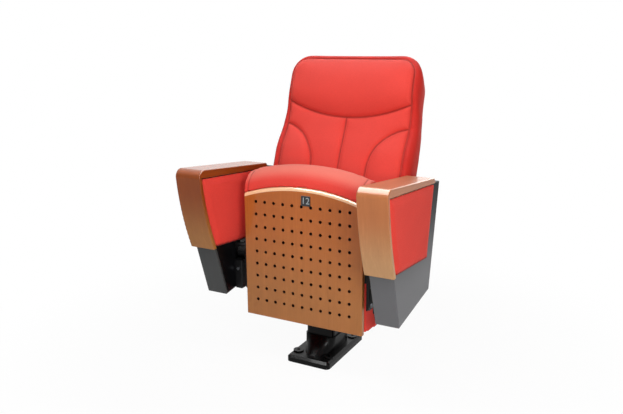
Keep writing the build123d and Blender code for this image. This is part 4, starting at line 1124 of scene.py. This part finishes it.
    def gusset(self, point: Vector, _normal: Vector) -> float:
        """1 where a point is on the darker gusset or the rear, 0 on the front, and between at the seam."""
        outside = self.edge_gap(point) / self.gusset_seam + 0.5
        return min(1.0, max(0.0, outside)) if point.z > self.gusset_level else 1.0


# ---------------------------------------------------------------- seat
@dataclass
class SeatCushion:
    """Foam seat with a rounded nose over the panel's arch and a boxing seam along each side."""

    half: float = 0.205
    seam_in: float = 0.014
    panel_y: float = -0.128
    board_y: float = -0.1335
    side_y: float = -0.10
    heel_z: float = 0.21
    side_z: float = 0.42
    nose_z: float = 0.56
    arch_band: float = 0.006
    held_band: float = 0.012
    panel_top: float = 0.55
    panel_facing: float = -0.5
    side_facing: float = 0.8
    face_room: float = 0.009
    end_room: float = 0.004
    side_room: float = 0.0015
    cell: float = 0.005
    painted_top_light_rise: tuple[float, float] = (0.3, 0.6)

    def over_arch(self, point: Vector) -> float:
        """How far a point lies outside the panel's arched edge."""
        return hypot(point.x, point.z - ARCH_MIDDLE_Z) - ARCH_RADIUS

    def room(self, point: Vector) -> float:
        """How far a point may swell: nothing at the boards and the hinge, most on the sitting face.

        Args:
            point: a point of the cushion with the seat up.

        Returns:
            The room.
        """
        if point.y < self.panel_y and self.over_arch(point) < self.arch_band:
            return 0.0
        if abs(point.x) > self.half - self.held_band:
            return 0.0 if point.z < self.side_z or point.y < self.side_y else self.side_room
        if abs(point.y - self.board_y) < self.held_band and point.z < self.nose_z:
            return 0.0
        return self.face_room if self.heel_z <= point.z <= self.nose_z else self.end_room

    def seams(self, point: Vector, normal: Vector) -> float:
        """Distance to the boxing seams, which run round the sitting face and the nose.

        Args:
            point: a point of the cushion with the seat up.
            normal: the cloth's direction there.

        Returns:
            The distance.
        """
        on_side = abs(normal.x) > self.side_facing
        behind_panel = normal.y < self.panel_facing and point.z < self.panel_top
        if on_side or behind_panel:
            return NO_SEAM
        return abs(abs(point.x) - self.half + self.seam_in)

    def paint_top_light(self, _point: Vector, normal: Vector) -> float:
        """How much painted top light a point gets: most where the cloth faces up, on the crest of the nose.
        """
        return ramp(normal.z, self.painted_top_light_rise)

    def build(self) -> None:
        """Model the cushion, dress it and hand it over."""
        piece = piece_from(merged_copy("seat_cushion"), "seat_cushion_cover")
        remesh(piece, self.cell)
        relax(piece, 2, self.room)
        swell(piece, self.room)
        subdivide(piece)
        piece.data.update()
        press(piece, self.seams, depth=0.0028, width=0.0035)
        mark_points(piece, PAINTED_TOP_LIGHT_MARK, self.paint_top_light)
        write_weave(piece)
        put_on(piece, CORAL.make())
        hand_over(piece, "seat", ("seat_cushion",))


@dataclass
class FeltSheet:
    """Black felt behind the perforated panel, with a slightly uneven face."""

    step: float = 0.011
    unevenness: float = 0.0002

    def build(self) -> None:
        """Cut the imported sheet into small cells, roughen it and hand it over."""
        bm = merged_copy("acoustic_felt")
        low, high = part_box("acoustic_felt")
        bmesh.ops.dissolve_limit(bm, angle_limit=0.01, verts=bm.verts, edges=bm.edges)
        for axis, normal in ((0, Vector((1, 0, 0))), (2, Vector((0, 0, 1)))):
            count = int((high[axis] - low[axis]) / self.step)
            for number in range(1, count):
                at = low.lerp(high, number / count)
                bmesh.ops.bisect_plane(bm, geom=bm.verts[:] + bm.edges[:] + bm.faces[:], dist=1e-6,
                                       plane_co=at, plane_no=normal)
        for vert in bm.verts:
            vert.co.y += noise.noise(vert.co * 90.0) * self.unevenness
        piece = piece_from(bm, "acoustic_felt_sheet")
        put_on(piece, BLACK_FELT.make())
        hand_over(piece, "seat", ("acoustic_felt",))


@dataclass
class PlateFigures:
    """Plain seat number on the small plate."""

    text: str = "12"
    size: float = 0.02835
    relief: float = 0.0003
    middle: tuple[float, float] = (0.016, 0.547)
    face: float = -0.1651

    def build(self) -> None:
        """Write the number, make it a mesh and set it on the plate."""
        curve = bpy.data.curves.new("plate_figures", "FONT")
        curve.body = self.text
        curve.size = self.size
        curve.extrude = self.relief
        curve.align_x = "CENTER"
        curve.align_y = "CENTER"
        piece = into_scene("plate_figures", curve)
        bpy.context.view_layer.update()
        mesh = bpy.data.meshes.new_from_object(piece.evaluated_get(bpy.context.evaluated_depsgraph_get()))
        bpy.data.objects.remove(piece)
        place = Matrix.Translation((self.middle[0], self.face, self.middle[1]))
        mesh.transform(place @ Matrix.Rotation(radians(90), 4, "X"))
        piece = into_scene("plate_figures", mesh)
        put_on(piece, PLATE_FIGURE.make())
        hand_over(piece, "seat")


# ---------------------------------------------------------------- arms
@dataclass
class SidePads:
    """Padded cloth panels on both faces of both arms."""

    cell: float = 0.0026
    rise: float = 0.0025
    face_depth: float = 0.002
    lower_shade: float = 0.005
    facing_down: float = -0.6

    def shade_lower_edge(self, piece: bpy.types.Object) -> None:
        """Mark painted shadow on the cloth along its lower edge, where the gap under the pad is in shade.

        Args:
            piece: the pad.
        """
        under = [vert.co.copy() for vert in piece.data.vertices if vert.normal.z < self.facing_down]
        tree = KDTree(len(under))
        for index, place in enumerate(under):
            tree.insert(place, index)
        tree.balance()

        def shade(point: Vector, _normal: Vector) -> float:
            """Painted shadow at a point, which falls off with its distance to the lower edge."""
            return SEAM_SHADE_MOST * exp(-(tree.find(point)[2] / self.lower_shade) ** 2)

        mark_points(piece, PAINTED_SHADE_MARK, shade)

    def build(self) -> None:
        """Model the four pads, dress them and hand them over."""
        cloth = CORAL.make()
        for side in ("left", "right"):
            for face in ("outer", "inner"):
                self.pad(f"{face}_side_pad_{side}", cloth)

    def pad(self, node: str, cloth: bpy.types.Material) -> None:
        """One pad, crowned over its board.

        Args:
            node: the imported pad.
            cloth: its cloth.
        """
        low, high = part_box(node)
        outward = 1.0 if "outer" in node else -1.0
        side = 1.0 if low.x > 0 else -1.0
        face_x = high.x if outward * side > 0 else low.x

        def room(point: Vector) -> float:
            """Room on the face, none at the back and the rolled edge."""
            inward = abs(point.x - face_x)
            return 0.0 if inward > self.face_depth else self.rise

        piece = piece_from(merged_copy(node), node + "_cover")
        remesh(piece, self.cell)
        swell(piece, room, pressure=3.0, frames=12)
        self.shade_lower_edge(piece)
        write_weave(piece)
        put_on(piece, cloth)
        hand_over(piece, "stand", (node,))


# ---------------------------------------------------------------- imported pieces
@dataclass
class PackedPieces:
    """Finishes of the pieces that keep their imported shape."""

    def finishes(self) -> dict[str, Finish]:
        """Which finish a piece takes, by the start of its name.

        Returns:
            The finish for each beginning.
        """
        return {
            "armrest_screws": ZINC, "armrest_right": ARM_WOOD, "armrest_left": SHADED_ARM_WOOD,
            "seat_under_panel": PANEL_WOOD, "back_rear_panel": REAR_WOOD,
            "side_standard_right": GREY_PAINT, "side_standard_left": SHADED_GREY_PAINT,
            "foot_casting": BLACK_ENAMEL, "pedestal_column": BLACK_ENAMEL, "crossbeam": BLACK_PAINT,
            "beam_bracket_": BLACK_PAINT, "beam_bracket_bolts": ZINC, "beam_bolts": ZINC, "beam_nuts": ZINC,
            "back_bracket_bolts": ZINC, "back_bracket_": BLACK_PAINT, "back_screws": ZINC,
            "inner_cover": SHADE_COVER_GLOSS, "mechanism_box_screws": ZINC, "mechanism_box": BOX_PLASTIC,
            "hinge_angle": BLACK_ZINC, "hinge_hub": BLACK_PAINT, "hinge_bushes": NYLON, "hinge_bolts": ZINC,
            "pivot_shaft": TURNED, "shaft_clips": SPRING, "return_spring": SPRING,
            "stop_buffers": RUBBER, "seat_frame": BLACK_PAINT, "seat_side_plate": BLACK_PAINT,
            "seat_side_bolts": ZINC, "seat_screws": ZINC, "seat_number_plate": PLATE_PLASTIC,
            "seat_inner_board": BARE_PLY, "back_inner_board": BARE_PLY,
            "inner_side_board": BARE_PLY, "outer_side_board": BARE_PLY,
        }

    def build(self) -> None:
        """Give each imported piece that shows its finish."""
        made: dict[str, bpy.types.Material] = {}
        finishes = self.finishes()
        for name, node in sorted(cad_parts.items()):
            if node.hide_render:
                continue
            start = max((key for key in finishes if name.startswith(key)), key=len, default=None)
            if start is None:
                raise ValueError(f"no finish for {name}")
            finish = finishes[start]
            if finish.name not in made:
                made[finish.name] = finish.make()
            for slot in node.material_slots:
                slot.material = made[finish.name]
            LOG.info("%s: %s", name, finish.name)


# ---------------------------------------------------------------- stage
@dataclass(frozen=True)
class Lamp:
    """One soft rectangular lamp, or with mirrored_only a card that shows in gloss and lights nothing."""

    name: str
    place: tuple[float, float, float]
    aim: tuple[float, float, float]
    size: tuple[float, float]
    power: float
    mirrored_only: bool = False

    def build(self) -> None:
        """Put the lamp into the scene."""
        light = bpy.data.lights.new(self.name, "AREA")
        light.shape = "RECTANGLE"
        light.size, light.size_y = self.size
        light.energy = self.power
        lamp = into_scene(self.name, light)
        lamp.location = self.place
        lamp.visible_camera = False
        lamp.visible_diffuse = not self.mirrored_only
        lamp.rotation_euler = (Vector(self.aim) - Vector(self.place)).to_track_quat("-Z", "Y").to_euler()


LAMPS = (
    Lamp("overhead_softbox", (-0.1, -0.72, 2.4), (-0.1, -0.3, 0.3), (1.5, 0.6), 20.0),
    Lamp("overhead_card", (-0.35, -0.3, 2.45), (-0.35, -0.3, 0.0), (1.9, 3.4), 380.0, True),
    Lamp("right_key", (1.1, -1.25, 0.95), (0.1, -0.2, 0.45), (0.6, 0.6), 13.0),
    Lamp("rear_fill", (0.2, 2.6, 1.3), (0.0, 0.2, 0.6), (1.6, 1.2), 24.0),
    Lamp("front_fill", (0.9, -3.0, 1.2), (0.0, 0.0, 0.6), (1.6, 1.2), 13.0),
)


@dataclass
class Studio:
    """Pale floor, soft lamps, white surroundings and the camera."""

    camera_place: tuple[float, float, float] = (0.9607, -1.8805, 1.0075)
    camera_yaw: float = 28.32
    camera_pitch: float = 13.71
    camera_roll: float = -0.36
    camera_lens: float = 39.30
    fill: float = 0.25
    fill_from_right: float = 0.55
    surround: float = 0.55
    backdrop: float = 1.1
    floor_half: float = 12.0
    floor_white: float = 0.94
    white_from: tuple[float, float] = (0.5, 1.3)

    def seen(self, shader: Shader) -> Wire:
        """1 for a ray from the camera, a mirror or glass, and 0 for one that lights a surface."""
        camera = shader.node("ShaderNodeLightPath", out="Is Camera Ray")
        return camera.larger(camera.other("Is Glossy Ray")).larger(camera.other("Is Transmission Ray"))

    def surroundings(self) -> None:
        """White world that fills gently, a little more from the right, and shows brighter in gloss."""
        world = bpy.data.worlds.new("surroundings")
        world.use_nodes = True
        bpy.context.scene.world = world
        shader = Shader(world.node_tree)
        seen = self.seen(shader)
        right, rear, _ = shader.split(shader.node("ShaderNodeTexCoord", out="Generated"))
        mirrored = rear.step(-0.2, 0.8) * self.backdrop + self.surround
        fill = (1 + right * self.fill_from_right) * self.fill
        plain = shader.node("ShaderNodeLightPath", out="Is Camera Ray")
        shown = plain.larger(plain.other("Is Transmission Ray"))
        strength = shown + (1 - shown) * (seen * mirrored + (1 - seen) * fill)
        light = shader.node("ShaderNodeBackground", None, {"Color": (1.0, 1.0, 1.0), "Strength": strength})
        shader.node("ShaderNodeOutputWorld", None, {"Surface": light})

    def floor(self) -> None:
        """Pale floor that keeps the object's shadow and turns white away from it."""
        bm = bmesh.new()
        bmesh.ops.create_grid(bm, x_segments=1, y_segments=1, size=self.floor_half)
        floor = piece_from(bm, "studio_floor")
        shader, material = Shader.of_material("floor_paper")
        paper = shader.node("ShaderNodeBsdfDiffuse", None, {"Color": (0.82, 0.82, 0.82)})
        glow = shader.node("ShaderNodeEmission", None, {"Color": (1.0, 1.0, 1.0), "Strength": 1.0})
        x, y, _ = shader.split(shader.place())
        away = (x * x + y * y).math("SQRT").step(*self.white_from)
        white = away * (1 - self.floor_white) + self.floor_white
        both = shader.node("ShaderNodeMixShader", None, {0: self.seen(shader) * white, 1: paper, 2: glow})
        shader.node("ShaderNodeOutputMaterial", None, {"Surface": both})
        floor.data.materials.append(material)

    def build(self) -> None:
        """Set up everything round the object."""
        bpy.context.scene.view_settings.view_transform = "Standard"
        self.surroundings()
        self.floor()
        for lamp in LAMPS:
            lamp.build()
        self.aim_camera()

    def aim_camera(self) -> None:
        """The photograph's viewpoint."""
        yaw, pitch, roll = (radians(a) for a in (self.camera_yaw, self.camera_pitch, self.camera_roll))
        ahead = Vector((-sin(yaw) * cos(pitch), cos(yaw) * cos(pitch), -sin(pitch)))
        right = Vector((cos(yaw), sin(yaw), 0.0))
        up = right.cross(ahead)
        level = right * cos(roll) + up * sin(roll)
        upright = up * cos(roll) - right * sin(roll)
        view = Matrix((level, upright, -ahead)).transposed().to_4x4()
        data = bpy.data.cameras.new("photo_camera")
        data.lens = self.camera_lens
        camera = into_scene("photo_camera", data)
        camera.matrix_world = Matrix.Translation(self.camera_place) @ view
        bpy.context.scene.camera = camera


def write_sizes() -> None:
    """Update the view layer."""
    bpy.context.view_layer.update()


def main() -> None:
    """Build the scene in order."""
    logging.basicConfig(level=logging.INFO, format="%(message)s")
    Studio().build()
    for part in (BackCushion(), SeatCushion(), FeltSheet(), PlateFigures(), SidePads(), PackedPieces()):
        part.build()
        LOG.info("%s is ready", type(part).__name__)
    write_sizes()


if __name__ == "__main__":
    main()
